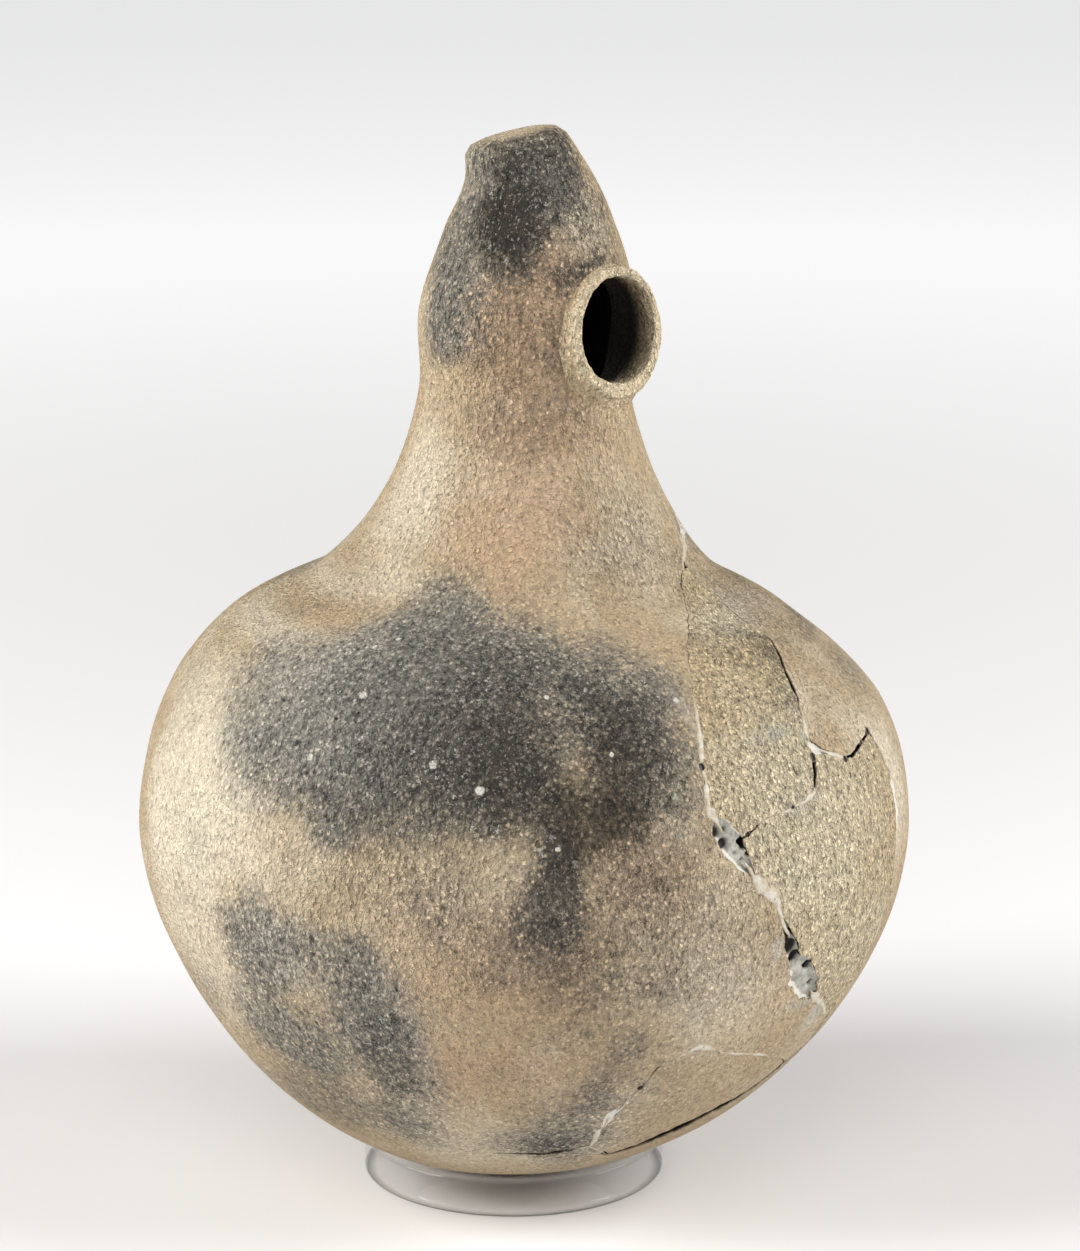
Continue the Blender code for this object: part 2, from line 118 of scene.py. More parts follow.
def lining(turn, station):
    """Points of the wall's inside: one wall thickness in along the normal up to the cone, and above
    it a quarter ellipse that closes the hollow under the solid tip."""
    point, normal = wall(turn, np.minimum(station, CONE))
    inside = point - WALL * normal
    closing = np.clip((station - CONE) / (TIP - CONE), 0, 1)[..., None] * np.pi / 2
    middle = WALL_STATIONS[CONE, 2] * LEAN_WAY
    inside[..., :2] = middle + (inside[..., :2] - middle) * np.cos(closing)
    inside[..., 2:] += CROWN_RISE * np.sin(closing)
    return inside


def lattice_noise(points, cell, seed):
    """Smooth noise from -1 to 1: random values on a cubic lattice, eased between its eight corners."""
    size = 32
    values = np.random.default_rng(seed).uniform(-1, 1, (size, size, size))
    place = points / cell + size
    low = np.floor(place).astype(int)
    part = place - low
    part = part * part * (3 - 2 * part)
    total = np.zeros(points.shape[:-1])
    for corner in itertools.product((0, 1), repeat=3):
        weight = np.where(np.array(corner) == 1, part, 1 - part).prod(-1)
        at = (low + corner) % size
        total += weight * values[at[..., 0], at[..., 1], at[..., 2]]
    return total


def layered_noise(points, *layers):
    """The sum of layers of noise, each with its height, the size of its cells and its seed."""
    return sum(height * lattice_noise(points, cell, seed) for height, cell, seed in layers)


# Height, cell and seed of each layer.
HAND_SWELLS = (0.00032, 0.026, 1)
HAND_DENTS = (0.00016, 0.010, 2)


def hand_marks(points):
    """How far hand scraping left the surface proud: broad swells plus shallow dents."""
    return layered_noise(points, HAND_SWELLS, HAND_DENTS)


# Each point of a break: turn (degrees), station, open width (mm) and width of adhesive over it (mm).
MAIN_BREAK = [
    (40, 6.70, 0.00, 0.5), (36, 6.66, 0.20, 1.2), (29, 6.54, 1.90, 1.6), (21, 6.40, 0.15, 1.7),
    (15, 6.30, 0.10, 1.2), (8, 6.15, 0.10, 0.2), (4, 6.05, 0.35, 0.0), (0, 5.85, 0.12, 0.0),
    (-3, 5.69, 0.22, 0.0), (-11, 5.30, 0.12, 0.0), (-18, 4.77, 0.10, 0.3), (-21, 4.50, 0.10, 1.1),
    (-23, 4.33, 0.10, 1.0), (-24.2, 4.18, 0.35, 0.9), (-24.6, 4.01, 0.45, 1.1), (-25, 3.84, 0.30, 2.3),
    (-23, 3.60, 5.00, 0.0), (-21, 3.40, 4.80, 0.0), (-18.3, 3.15, 0.20, 2.5), (-16, 3.01, 0.30, 2.1),
    (-14, 2.91, 0.50, 1.8), (-12, 2.81, 3.20, 0.0), (-10.4, 2.74, 3.60, 0.0), (-8, 2.66, 6.00, 0.0),
    (-4, 2.57, 5.60, 0.0), (-1, 2.51, 0.25, 2.2), (4, 2.43, 0.20, 1.4), (10, 2.34, 0.30, 0.5),
]
SIDE_BREAK = [
    (13, 6.24, 0.00, 0.0), (13, 5.66, 0.08, 0.0), (12.6, 5.56, 0.42, 0.0), (11.4, 5.34, 0.40, 0.0),
    (11.6, 5.24, 0.06, 0.0), (13, 5.03, 0.08, 0.0), (12.4, 4.97, 0.70, 0.0), (7.5, 4.74, 0.95, 0.0),
    (4, 4.57, 0.85, 0.0), (2.2, 4.46, 0.50, 0.2), (0, 4.35, 0.12, 0.9), (-1, 4.27, 0.12, 1.4),
    (-2, 4.15, 2.30, 0.0), (3, 4.02, 0.12, 1.1), (4.8, 3.97, 0.70, 0.3), (8, 3.98, 0.75, 0.0),
    (11.8, 4.03, 0.90, 0.0), (14, 4.05, 0.70, 0.0), (16, 4.07, 0.60, 0.2), (17, 3.96, 0.10, 0.0),
    (18, 3.75, 0.12, 0.5), (19.3, 3.42, 1.90, 0.0), (19, 3.10, 0.12, 0.8), (17.2, 2.84, 0.40, 0.0),
    (15.2, 2.79, 0.15, 0.8), (15.4, 2.67, 0.12, 1.0), (16, 2.55, 0.12, 0.5), (10, 2.34, 0.30, 0.5),
]
CROSS_BREAK = [
    (-2, 4.15, 0.80, 0.0), (-3.2, 4.05, 0.90, 0.0), (-3.8, 3.94, 0.90, 0.0), (-4.8, 3.84, 0.80, 0.2),
    (-5.6, 3.79, 0.12, 1.1), (-8.5, 3.74, 0.12, 0.8), (-12, 3.71, 0.25, 0.5), (-15, 3.69, 0.30, 0.4),
    (-17, 3.65, 0.30, 0.4), (-19.3, 3.58, 0.50, 0.0), (-20.3, 3.55, 0.40, 0.0),
]
BASE_BREAK = [
    (-59, 1.68, 0.30, 0.0), (-47, 1.68, 1.20, 0.0), (-42, 1.71, 1.00, 0.2), (-37, 1.75, 0.50, 0.8),
    (-37, 1.97, 0.20, 1.4), (-36, 2.10, 2.40, 0.0), (-34, 2.18, 0.25, 0.9), (-32.5, 2.25, 0.45, 0.3),
    (-30.5, 2.35, 0.40, 0.2), (-27, 2.40, 0.20, 0.9), (-24, 2.43, 0.15, 1.5), (-20, 2.38, 0.12, 1.0),
    (-9, 2.30, 0.12, 0.8), (0, 2.21, 0.25, 0.4), (6, 2.14, 0.40, 0.0),
]
LOWER_BREAK = [
    (10, 2.34, 0.60, 0.3), (12, 2.21, 1.00, 0.0), (6, 2.14, 1.60, 0.0), (0, 2.02, 2.80, 0.0),
    (-10, 1.88, 3.40, 0.0), (-20, 1.68, 3.20, 0.0), (-29, 1.55, 1.20, 0.3), (-37, 1.75, 0.30, 0.8),
]
# Turn, station and width (mm) of the round holes left in the joints.
JOINT_HOLES = [
    (4.0, 6.05, 0.8), (-24.0, 4.19, 1.5), (-3.2, 4.09, 2.2), (16.0, 4.07, 1.8), (11.8, 4.03, 1.2),
    (4.8, 3.98, 1.5), (-10.2, 3.72, 0.9), (-17.5, 3.64, 0.9), (-19.3, 3.58, 1.2), (17.2, 2.84, 1.4),
    (-32.5, 2.25, 1.6),
]
MM = 0.001
# The spacing of a break's dense line, how far it strays, the length over which it settles at an end,
# and the cells and shares of the noise that bends it and roughens its open width.
LINE_STEP = 0.0003
LINE_WANDER = 0.00035
LINE_END = 0.003
BEND_CELL, KINK_CELL, KINK_SHARE = 0.004, 0.0015, 0.6
GAP_CELL, GAP_SHARE = 0.0016, 0.45


def reach_along(points):
    """The length along a line of points, from the first to each of them."""
    return np.append(0, np.cumsum(np.linalg.norm(np.diff(points, axis=0), axis=1)))


def line_wander(track, seed):
    """How far a line strays to one side: broad bends plus smaller kinks."""
    return LINE_WANDER * layered_noise(track, (1.0, BEND_CELL, seed), (KINK_SHARE, KINK_CELL, seed + 1))


def broken_line(points, seed):
    """A break as a dense line on the wall: its points joined evenly along their length, pushed along
    and up the wall by noise, less so near its ends, with its width roughened by noise too and widened
    to a circle's chord at each of the joint's holes."""
    turn, station, gap, glue = np.array(points, float).T
    corners, _ = wall(turn, station)
    reach = reach_along(corners)
    along = np.arange(0, reach[-1], LINE_STEP)
    turn, station, gap, glue = (np.interp(along, reach, value) for value in (turn, station, gap, glue))
    track, _ = wall(turn, station)
    ends = np.clip(np.minimum(along, reach[-1] - along) / LINE_END, 0, 1)
    turn = turn + np.degrees(ends * line_wander(track, seed) / outline(station)[..., 0])
    span = np.interp(station, np.arange(TIP) + 0.5, station_spans)
    station = station + ends * line_wander(track, seed + 2) / span
    point, normal = wall(turn, station)
    tangent = np.gradient(point, axis=0)
    tangent /= np.linalg.norm(tangent, axis=1)[:, None]
    gap = MM * gap * (1 + GAP_SHARE * lattice_noise(track, GAP_CELL, seed + 4))
    hole = np.zeros_like(gap)
    for hole_turn, hole_station, width in JOINT_HOLES:
        off = np.linalg.norm(point - wall_point(hole_turn, hole_station), axis=1)
        chord = np.sqrt(np.maximum((MM * width) ** 2 - 4 * off**2, 0))
        hole = np.maximum(hole, chord)
    return SimpleNamespace(
        turn=turn, station=station, gap=np.maximum(gap, hole), glue=MM * glue, hole=hole,
        point=point, normal=normal, side=np.cross(normal, tangent))


main_break = broken_line(MAIN_BREAK, 11)
side_break = broken_line(SIDE_BREAK, 21)
cross_break = broken_line(CROSS_BREAK, 31)
base_break = broken_line(BASE_BREAK, 41)
lower_break = broken_line(LOWER_BREAK, 51)
all_breaks = (main_break, side_break, cross_break, base_break, lower_break)
breaks = SimpleNamespace(**{
    key: np.concatenate([getattr(line, key) for line in all_breaks])
    for key in ("turn", "station", "gap", "point", "side")})


POINTS_AT_ONCE = 400  # so that the table of distances stays small


def nearest_on_breaks(points):
    """For each point the index of the nearest place on any break, and the distance to it."""
    found = []
    for chunk in np.array_split(points, 1 + len(points) // POINTS_AT_ONCE):
        off = ((chunk[:, None] - breaks.point) ** 2).sum(-1)
        found.append(np.stack([off.argmin(1), np.sqrt(off.min(1))]))
    index, distance = np.concatenate(found, axis=1)
    return index.astype(int), distance


# The grid is finest on the mended side, where the breaks run, and coarsest at the back.
FINE_TURNS = (-62.0, 42.0)
FINE_STATIONS = (1.40, 6.80)
FINE_TURN_STEP = 0.6
BACK_TURNS = (FINE_TURNS[1], 214.0)
BACK_COLUMNS = 38
SIDE_COLUMNS = 52
FINE_ROW = 0.0012
PLAIN_ROW = 0.0022
OUTLINE_PLACES = 4001
outline_stations = np.linspace(0, TIP, OUTLINE_PLACES)
outline_lengths = reach_along(outline(outline_stations)[:, :2])


def rows_between(first, last, step):
    """Stations from first up to last, spaced evenly by length along the wall's outline."""
    low, high = np.interp([first, last], outline_stations, outline_lengths)
    lengths = np.linspace(low, high, round((high - low) / step), endpoint=False)
    return np.interp(lengths, outline_lengths, outline_stations)


def tube_faces(rows, columns, closed=False):
    """Faces, in rows, of a grid of points whose rows run round a tube. The last row of points meets the
    first if the tube is closed."""
    index = np.arange(rows * columns).reshape(rows, columns)
    ahead = np.roll(index, -1, axis=0)
    faces = np.stack([index, np.roll(index, -1, axis=1), np.roll(ahead, -1, axis=1), ahead], -1)
    return faces if closed else faces[:-1]


row_stations = np.concatenate([
    rows_between(0, FINE_STATIONS[0], PLAIN_ROW)[1:],
    rows_between(*FINE_STATIONS, FINE_ROW),
    rows_between(FINE_STATIONS[1], TIP, PLAIN_ROW)])
column_turns = np.concatenate([
    np.arange(*FINE_TURNS, FINE_TURN_STEP),
    np.linspace(*BACK_TURNS, BACK_COLUMNS, endpoint=False),
    np.linspace(BACK_TURNS[1], FINE_TURNS[0] + 360, SIDE_COLUMNS, endpoint=False)])
grid_turn, grid_station = np.meshgrid(column_turns, row_stations)
cells = tube_faces(*grid_turn.shape).reshape(-1, 4)
grid_turn, grid_station = grid_turn.ravel(), grid_station.ravel()
grid_point, _ = wall(grid_turn, grid_station)
cell_middle = grid_point[cells].mean(1)
cell_turn = grid_turn[cells[:, 0]] + FINE_TURN_STEP / 2
cell_station = grid_station[cells].mean(1)

# The mouth: a round hole cut through the hood's front, its middle and the way it faces.
MOUTH_RADIUS = 0.0108
MOUTH_HEIGHT = 0.1825
MOUTH_FORWARD = 0.0238
MOUTH_TILT = np.radians(5.0)
MOUTH_TURN = np.radians(-6.0)
COLLAR_BED = 0.0009  # how much wider than the collar's bore the hole is cut
BORE_RADIUS = MOUTH_RADIUS + COLLAR_BED
DEPTH_STEPS = 4
mouth_middle = np.array([WALL_STATIONS[HOOD, 2] * LEAN_WAY[0], -MOUTH_FORWARD, MOUTH_HEIGHT])
mouth_across = np.array([np.cos(MOUTH_TURN), np.sin(MOUTH_TURN), 0.0])
level_out = np.array([np.sin(MOUTH_TURN), -np.cos(MOUTH_TURN), 0.0])
mouth_out = np.cos(MOUTH_TILT) * level_out + np.array([0.0, 0.0, np.sin(MOUTH_TILT)])
mouth_up = np.cross(mouth_out, mouth_across)


def from_mouth(across, up, out):
    """Points in the jar's frame from places across, up and out of the mouth."""
    return (mouth_middle + across[..., None] * mouth_across + up[..., None] * mouth_up
            + out[..., None] * mouth_out)


def to_mouth(points):
    """The places across, up and out of the mouth of points in the jar's frame."""
    off = points - mouth_middle
    return off @ mouth_across, off @ mouth_up, off @ mouth_out


HOOD_PLACES = 201
hood_stations = np.linspace(THROAT, CONE + 1, HOOD_PLACES)
hood_radii, hood_heights, hood_leans = outline(hood_stations).T


def hood_depth(across, up, inset=0.0):
    """How far out of the mouth's plane the hood's outside, or a skin inset from it, lies at a place in
    that plane: where a line straight out meets the wall's circle at its height, found in a few steps
    because that height shifts with the mouth's tilt."""
    out = np.zeros_like(across)
    way = mouth_out[:2]
    for _ in range(DEPTH_STEPS):
        height = from_mouth(across, up, out)[..., 2]
        radius = np.interp(height, hood_heights, hood_radii) - inset
        lean = np.interp(height, hood_heights, hood_leans)[..., None] * LEAN_WAY
        off = from_mouth(across, up, 0 * out)[..., :2] - lean
        along = off @ way / (way @ way)
        beyond = ((off**2).sum(-1) - radius**2) / (way @ way)
        out = np.sqrt(np.maximum(along**2 - beyond, 0)) - along
    return out


VOID_WIDTH = 0.0008  # cells nearer to a break than this are left out
fine_cells = np.flatnonzero(
    (cell_turn > FINE_TURNS[0]) & (cell_turn < FINE_TURNS[1])
    & (cell_station > FINE_STATIONS[0]) & (cell_station < FINE_STATIONS[1]))
cell_void = np.zeros(len(cells), bool)
near_break, break_distance = nearest_on_breaks(cell_middle[fine_cells])
cell_void[fine_cells] = break_distance < np.maximum(breaks.gap[near_break] / 2, VOID_WIDTH)
bore_across, bore_up, bore_out = to_mouth(cell_middle)
cell_void |= (np.hypot(bore_across, bore_up) < BORE_RADIUS) & (bore_out > -MOUTH_FORWARD)


STATIONS_A_DEGREE = 0.05  # what a degree counts as, beside stations, when the nearest place is found
LINE_SKIP = 3  # one in so many of a line's places bounds a sherd


def stretch(line, first, last):
    """The turns and stations of a break's line, thinned, between two of its places, in that order."""
    start, end = (np.hypot((line.turn - turn) * STATIONS_A_DEGREE, line.station - station).argmin()
                  for turn, station in (first, last))
    places = np.stack([line.turn, line.station], -1)
    if start <= end:
        return places[start:end + 1:LINE_SKIP]
    return places[end:start + 1:LINE_SKIP][::-1]


def cells_inside(*stretches):
    """Which cells lie inside a closed run of stretches: where a line going up from the cell's middle
    crosses the run an odd number of times."""
    first = np.concatenate(stretches)
    last = np.roll(first, -1, axis=0)
    turn, station = cell_turn[fine_cells, None], cell_station[fine_cells, None]
    spanned = (first[:, 0] > turn) != (last[:, 0] > turn)
    run = np.where(first[:, 0] == last[:, 0], 1, last[:, 0] - first[:, 0])
    crossing = first[:, 1] + (turn - first[:, 0]) / run * (last[:, 1] - first[:, 1])
    inside = np.zeros(len(cells), bool)
    inside[fine_cells] = (spanned & (crossing > station)).sum(1) % 2 == 1
    return inside & ~cell_void


# Turn and station of the places where breaks meet.
SHERD_TOP = (13, 6.24)
SHERD_CORNER = (-22, 3.50)
SHERD_JUNCTION = (-2, 4.15)
SHERD_FOOT = (10, 2.34)
BASE_CORNER = (-37, 1.75)
BASE_END = (6, 2.14)
shoulder_cells = cells_inside(
    stretch(main_break, SHERD_TOP, SHERD_CORNER), stretch(cross_break, SHERD_CORNER, SHERD_JUNCTION),
    stretch(side_break, SHERD_JUNCTION, SHERD_TOP))
side_cells = cells_inside(
    stretch(main_break, SHERD_CORNER, SHERD_FOOT), stretch(side_break, SHERD_FOOT, SHERD_JUNCTION),
    stretch(cross_break, SHERD_JUNCTION, SHERD_CORNER))
base_cells = cells_inside(
    stretch(base_break, BASE_CORNER, BASE_END), stretch(lower_break, BASE_END, BASE_CORNER))
body_cells = ~(cell_void | shoulder_cells | side_cells | base_cells)


def wall_shell(kept, poles=False):
    """Points and faces of a closed shell of the wall: the kept cells outside, the same cells one wall
    in, and a rim between. An edge point moves to its nearest break, on its own side of the open width,
    or to the bore, and fans close the base and the tip if the shell has them as poles. Also each
    point's turn and station, and 1 where it is inside."""
    quads = cells[kept]
    count = np.bincount(quads.ravel(), minlength=grid_turn.size)
    middle = np.stack([np.bincount(quads.ravel(), np.repeat(cell_middle[kept, axis], 4), grid_turn.size)
                       for axis in range(3)], -1)
    edge = np.flatnonzero((count > 0) & (count < np.bincount(cells.ravel(), minlength=grid_turn.size)))
    turn, station = grid_turn.copy(), grid_station.copy()
    shift = np.zeros((grid_turn.size, 3))

    torn = edge[grid_station[edge] < NECK]
    near, _ = nearest_on_breaks(grid_point[torn])
    own_side = ((middle[torn] / count[torn, None] - breaks.point[near]) * breaks.side[near]).sum(-1)
    turn[torn], station[torn] = breaks.turn[near], breaks.station[near]
    shift[torn] = breaks.side[near] * (np.sign(own_side) * breaks.gap[near] / 2)[:, None]

    bored = edge[grid_station[edge] >= NECK]
    across, up, _ = to_mouth(grid_point[bored])
    scale = BORE_RADIUS / np.hypot(across, up)
    rim = from_mouth(across * scale, up * scale, hood_depth(across * scale, up * scale))
    station[bored] = np.interp(rim[:, 2], hood_heights, hood_stations)
    lean = outline(station[bored])[:, 2:] * LEAN_WAY
    turn[bored] = np.degrees(np.arctan2(rim[:, 0] - lean[:, 0], lean[:, 1] - rim[:, 1]))

    outside, normal = wall(turn, station)
    outside = outside + normal * hand_marks(outside)[:, None] + shift
    inside = lining(turn, station) + shift
    used = np.flatnonzero(count)
    number = np.full(grid_turn.size, -1)
    number[used] = np.arange(len(used))
    total = len(used)
    points = np.concatenate([outside[used], inside[used]])
    quads = number[quads]
    fans = np.zeros((0, 3), int)
    if poles:
        tips = np.array([2 * total, 2 * total + 1])
        low, high = number[:len(column_turns)], number[-len(column_turns):]
        fans = np.concatenate([
            np.stack([np.full_like(low, tips[0]), np.roll(low, -1), low], -1),
            np.stack([np.full_like(high, tips[1]), high, np.roll(high, -1)], -1)])
        ends = np.array([0.0, TIP])
        points = np.concatenate([points, wall(np.zeros(2), ends)[0], lining(np.zeros(2), ends)])
    else:
        ends = np.zeros(0)
    sides = np.concatenate([quads[:, [0, 1, 1, 2, 2, 3, 3, 0]].reshape(-1, 2), fans[:, [1, 2]]])
    key = np.sort(sides, axis=1) @ [len(points), 1]
    _, first, shared = np.unique(key, return_index=True, return_counts=True)
    open_sides = sides[first[shared == 1]]
    rim = np.concatenate([open_sides[:, ::-1], open_sides + total], axis=1)
    inner_fans = np.where(fans >= 2 * total, fans + 2, fans + total)[:, ::-1]
    faces = np.concatenate([quads, quads[:, ::-1] + total, rim]).tolist()
    faces += np.concatenate([fans, inner_fans]).tolist()
    spots = SimpleNamespace(
        turn=np.concatenate([np.tile(turn[used], 2), np.zeros(2 * len(ends))]),
        station=np.concatenate([np.tile(station[used], 2), np.tile(ends, 2)]),
        inner=np.concatenate([np.repeat([0.0, 1.0], total), np.repeat([0.0, 1.0], len(ends))]))
    return points, faces, spots


# Widths (mm) over which the edges of marks on the clay fade, and by which they wander.
MARK_EDGES = {
    "ash": (6.0, 4.0), "film": (8.0, 4.0), "soot": (7.0, 4.0), "light": (9.0, 4.0), "rosy": (9.0, 4.0),
    "worn": (9.0, 4.0), "smear": (3.0, 2.5),
}
BROAD_MARK = 12.0  # half size (mm) from which a mark has its full edge
LEAST_EDGE = 0.3
EDGE_BENDS = (1.0, 0.013, 61)
EDGE_KINKS = (0.5, 0.006, 62)


def clay_marks(spots, **kinds):
    """For each kind of mark how much its patches cover at each spot of a shell. A patch is an ellipse
    on the wall round a turn and station, with half sizes (mm) along and up it and a strength; its edge
    wanders with noise and fades, less so if it is small, and patches cover one less the product of
    what each leaves clear."""
    marks = {"inner": spots.inner}
    point, _ = wall(spots.turn, spots.station)
    radius = outline(spots.station)[:, 0] / MM
    height = np.interp(spots.station, outline_stations, outline_lengths) / MM
    wander = layered_noise(point, EDGE_BENDS, EDGE_KINKS)
    for kind, places in kinds.items():
        fade, ragged = MARK_EDGES[kind]
        clear = np.ones(len(point))
        for turn, station, along, up, strength in places:
            across = radius * np.radians((spots.turn - turn + 180) % 360 - 180) / along
            rise = (height - np.interp(station, outline_stations, outline_lengths) / MM) / up
            size = min(along, up)
            edge = np.clip(size / BROAD_MARK, LEAST_EDGE, 1)
            outside = (np.hypot(across, rise) - 1) * size + edge * ragged * wander
            share = np.clip(0.5 - outside / (2 * edge * fade), 0, 1)
            clear *= 1 - strength * share**2 * (3 - 2 * share)
        marks[kind] = 1 - clear
    return marks


SHARP_ANGLE = np.radians(45.0)


def set_piece(name, points, faces, marks, material, body, slot, *nodes):
    """A mesh of points and faces, smooth between soft corners, that rides a body in place of nodes.
    Marks give a value for each point under a name that its material reads."""
    mesh = bpy.data.meshes.new(name)
    mesh.from_pydata(points.tolist(), [], faces)
    mesh.shade_smooth()
    mesh.set_sharp_from_angle(angle=SHARP_ANGLE)
    for label, values in marks.items():
        attribute = mesh.attributes.new(label, "FLOAT", "POINT")
        attribute.data.foreach_set("value", values.astype(np.float32).ravel())
    mesh.materials.append(material)
    piece = bpy.data.objects.new(name, mesh)
    bpy.context.scene.collection.objects.link(piece)
    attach(piece, body)
    if nodes:
        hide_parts(*nodes)


def set_inputs(tree, node, inputs):
    """Gives a node's sockets, each named or numbered, a value or a link."""
    for key, value in inputs.items():
        if isinstance(value, bpy.types.NodeSocket):
            tree.links.new(value, node.inputs[key])
        else:
            node.inputs[key].default_value = value


def add_node(tree, kind, inputs=None, **settings):
    """A shader node with its settings and inputs."""
    node = tree.nodes.new("ShaderNode" + kind)
    for key, value in settings.items():
        setattr(node, key, value)
    set_inputs(tree, node, inputs or {})
    return node


def math(tree, operation, *values):
    """The result of one operation on numbers or links."""
    return add_node(tree, "Math", dict(enumerate(values)), operation=operation).outputs[0]


def times(tree, first, second):
    """The product of two numbers or links."""
    return math(tree, "MULTIPLY", first, second)


def most(tree, first, second):
    """The larger of two numbers or links."""
    return math(tree, "MAXIMUM", first, second)


def centred(tree, value):
    """A value from 0 to 1, shifted to lie evenly about 0."""
    return math(tree, "SUBTRACT", value, 0.5)


def vector_sum(tree, first, second):
    """Two places or colours added."""
    return add_node(tree, "VectorMath", {0: first, 1: second}, operation="ADD").outputs[0]


def scaled(tree, colour, amount):
    """A place or colour made larger or smaller by an amount."""
    return add_node(tree, "VectorMath", {0: colour, "Scale": amount}, operation="SCALE").outputs[0]


def blend(tree, share, first, second):
    """A colour that goes from the first to the second by a share from 0 to 1."""
    return add_node(tree, "Mix", {0: share, 6: first, 7: second}, data_type="RGBA").outputs[2]


def ease(tree, value, low, high, start=0.0, end=1.0):
    """A value eased from start, where it is low, to end, where it is high."""
    return add_node(tree, "MapRange", {0: value, 1: low, 2: high, 3: start, 4: end},
                    interpolation_type="SMOOTHSTEP").outputs[0]


def object_place(tree):
    """Where a point is in the jar's frame."""
    return add_node(tree, "TexCoord").outputs["Object"]


def noise(tree, where, scale, detail, roughness=0.5):
    """Noise from 0 to 1 at a place, finer for a larger scale."""
    return add_node(tree, "TexNoise", {
        "Vector": where, "Scale": scale, "Detail": detail, "Roughness": roughness}).outputs[0]


def mark(tree, label):
    """What a piece's points say under a name."""
    return add_node(tree, "Attribute", attribute_name=label).outputs["Fac"]


def new_material(name):
    """A new material, its node tree and its shader."""
    material = bpy.data.materials.new(name)
    material.use_nodes = True
    return material, material.node_tree, material.node_tree.nodes["Principled BSDF"]


def new_group(name, inputs, outputs):
    """A shader node group of values with nothing yet in it: the group, the links that its inputs give
    and the sockets of its outputs."""
    group = bpy.data.node_groups.new(name, "ShaderNodeTree")
    for label, value in inputs.items():
        socket = group.interface.new_socket(label, in_out="INPUT", socket_type="NodeSocketFloat")
        socket.default_value = value
    for label in outputs:
        group.interface.new_socket(label, in_out="OUTPUT", socket_type="NodeSocketFloat")
    return group, group.nodes.new("NodeGroupInput").outputs, group.nodes.new("NodeGroupOutput").inputs


# Smoke: what a stain covers, made ragged by noise at its edges and kept off the tops of the grains.
SMOKE_DRIFT = 2.6
SMOKE_MISS = -5.0
smoke_group, smoke_in, smoke_out = new_group("fire_cloud", {"Cover": 0.0, "Tone": 0.5}, ["Share"])
drift = noise(smoke_group, object_place(smoke_group), scale=110.0, detail=5.0, roughness=0.65)
uneven = times(smoke_group, centred(smoke_group, drift), SMOKE_DRIFT)
uneven = math(smoke_group, "MULTIPLY_ADD", centred(smoke_group, smoke_in["Tone"]), SMOKE_MISS, uneven)
edge = times(smoke_group, smoke_in["Cover"], math(smoke_group, "SUBTRACT", 1.0, smoke_in["Cover"]))
share = math(smoke_group, "MULTIPLY_ADD", edge, uneven, smoke_in["Cover"])
smoke_group.links.new(add_node(smoke_group, "Clamp", {0: share}).outputs[0], smoke_out["Share"])

# Sandy grain: the tone of single grains, darker towards the rims of their domes as painted shade
# between them, pale flecks of bare grit, pits where grit fell out, and relief. The grains are drawn
# out a little up the wall, and a fine warp makes them ragged.
GRAIN_STRETCH = (1.0, 1.0, 0.65)
WARP_REACH = 0.0018
grain_group, _, grain_out = new_group("sandy_grain", {}, ["Tone", "Grit", "Flecks", "Pits", "Relief"])
grain_place = object_place(grain_group)
drawn = add_node(
    grain_group, "VectorMath", {0: grain_place, 1: GRAIN_STRETCH}, operation="MULTIPLY").outputs[0]
warp = add_node(grain_group, "TexNoise", {"Vector": grain_place, "Scale": 2000.0, "Detail": 1.0})
warp = vector_sum(grain_group, warp.outputs["Color"], (-0.5, -0.5, -0.5))
warped = vector_sum(grain_group, grain_place, scaled(grain_group, warp, WARP_REACH))
sand_place = vector_sum(grain_group, warped, drawn)


def grain_noise(scale, detail, offset):
    """Noise along the drawn-out grain, shifted by an offset so that no two layers fall together."""
    shifted = vector_sum(grain_group, drawn, (offset, offset, offset))
    return noise(grain_group, shifted, scale, detail, roughness=0.6)


def grain_cells(where, scale):
    """Voronoi cells at a place: the distance to a cell's middle, and a random number for each cell."""
    cell = add_node(grain_group, "TexVoronoi", {"Vector": where, "Scale": scale}).outputs
    return cell["Distance"], add_node(grain_group, "SeparateColor", {0: cell["Color"]}).outputs[0]


def specks(scale, rarity, size):
    """Ragged spots in Voronoi cells: a cell's random number, raised to a power, gives the radius of
    its spot."""
    distance, chance = grain_cells(warped, scale)
    radius = times(grain_group, math(grain_group, "POWER", chance, rarity), size)
    return ease(grain_group, distance, times(grain_group, radius, 0.6), radius, 1.0, 0.0)


def sand_grains(scale):
    """Domes in Voronoi cells, some of them low and some high."""
    distance, chance = grain_cells(sand_place, scale)
    dome = ease(grain_group, distance, 0.10, 0.62, 1.0, 0.0)
    return times(grain_group, dome, math(grain_group, "MULTIPLY_ADD", chance, 0.8, 0.2))


def weighed(*layers):
    """The sum of layers, each a link and its weight."""
    total = 0.0
    for layer, weight in layers:
        total = math(grain_group, "MULTIPLY_ADD", layer, weight, total)
    return total


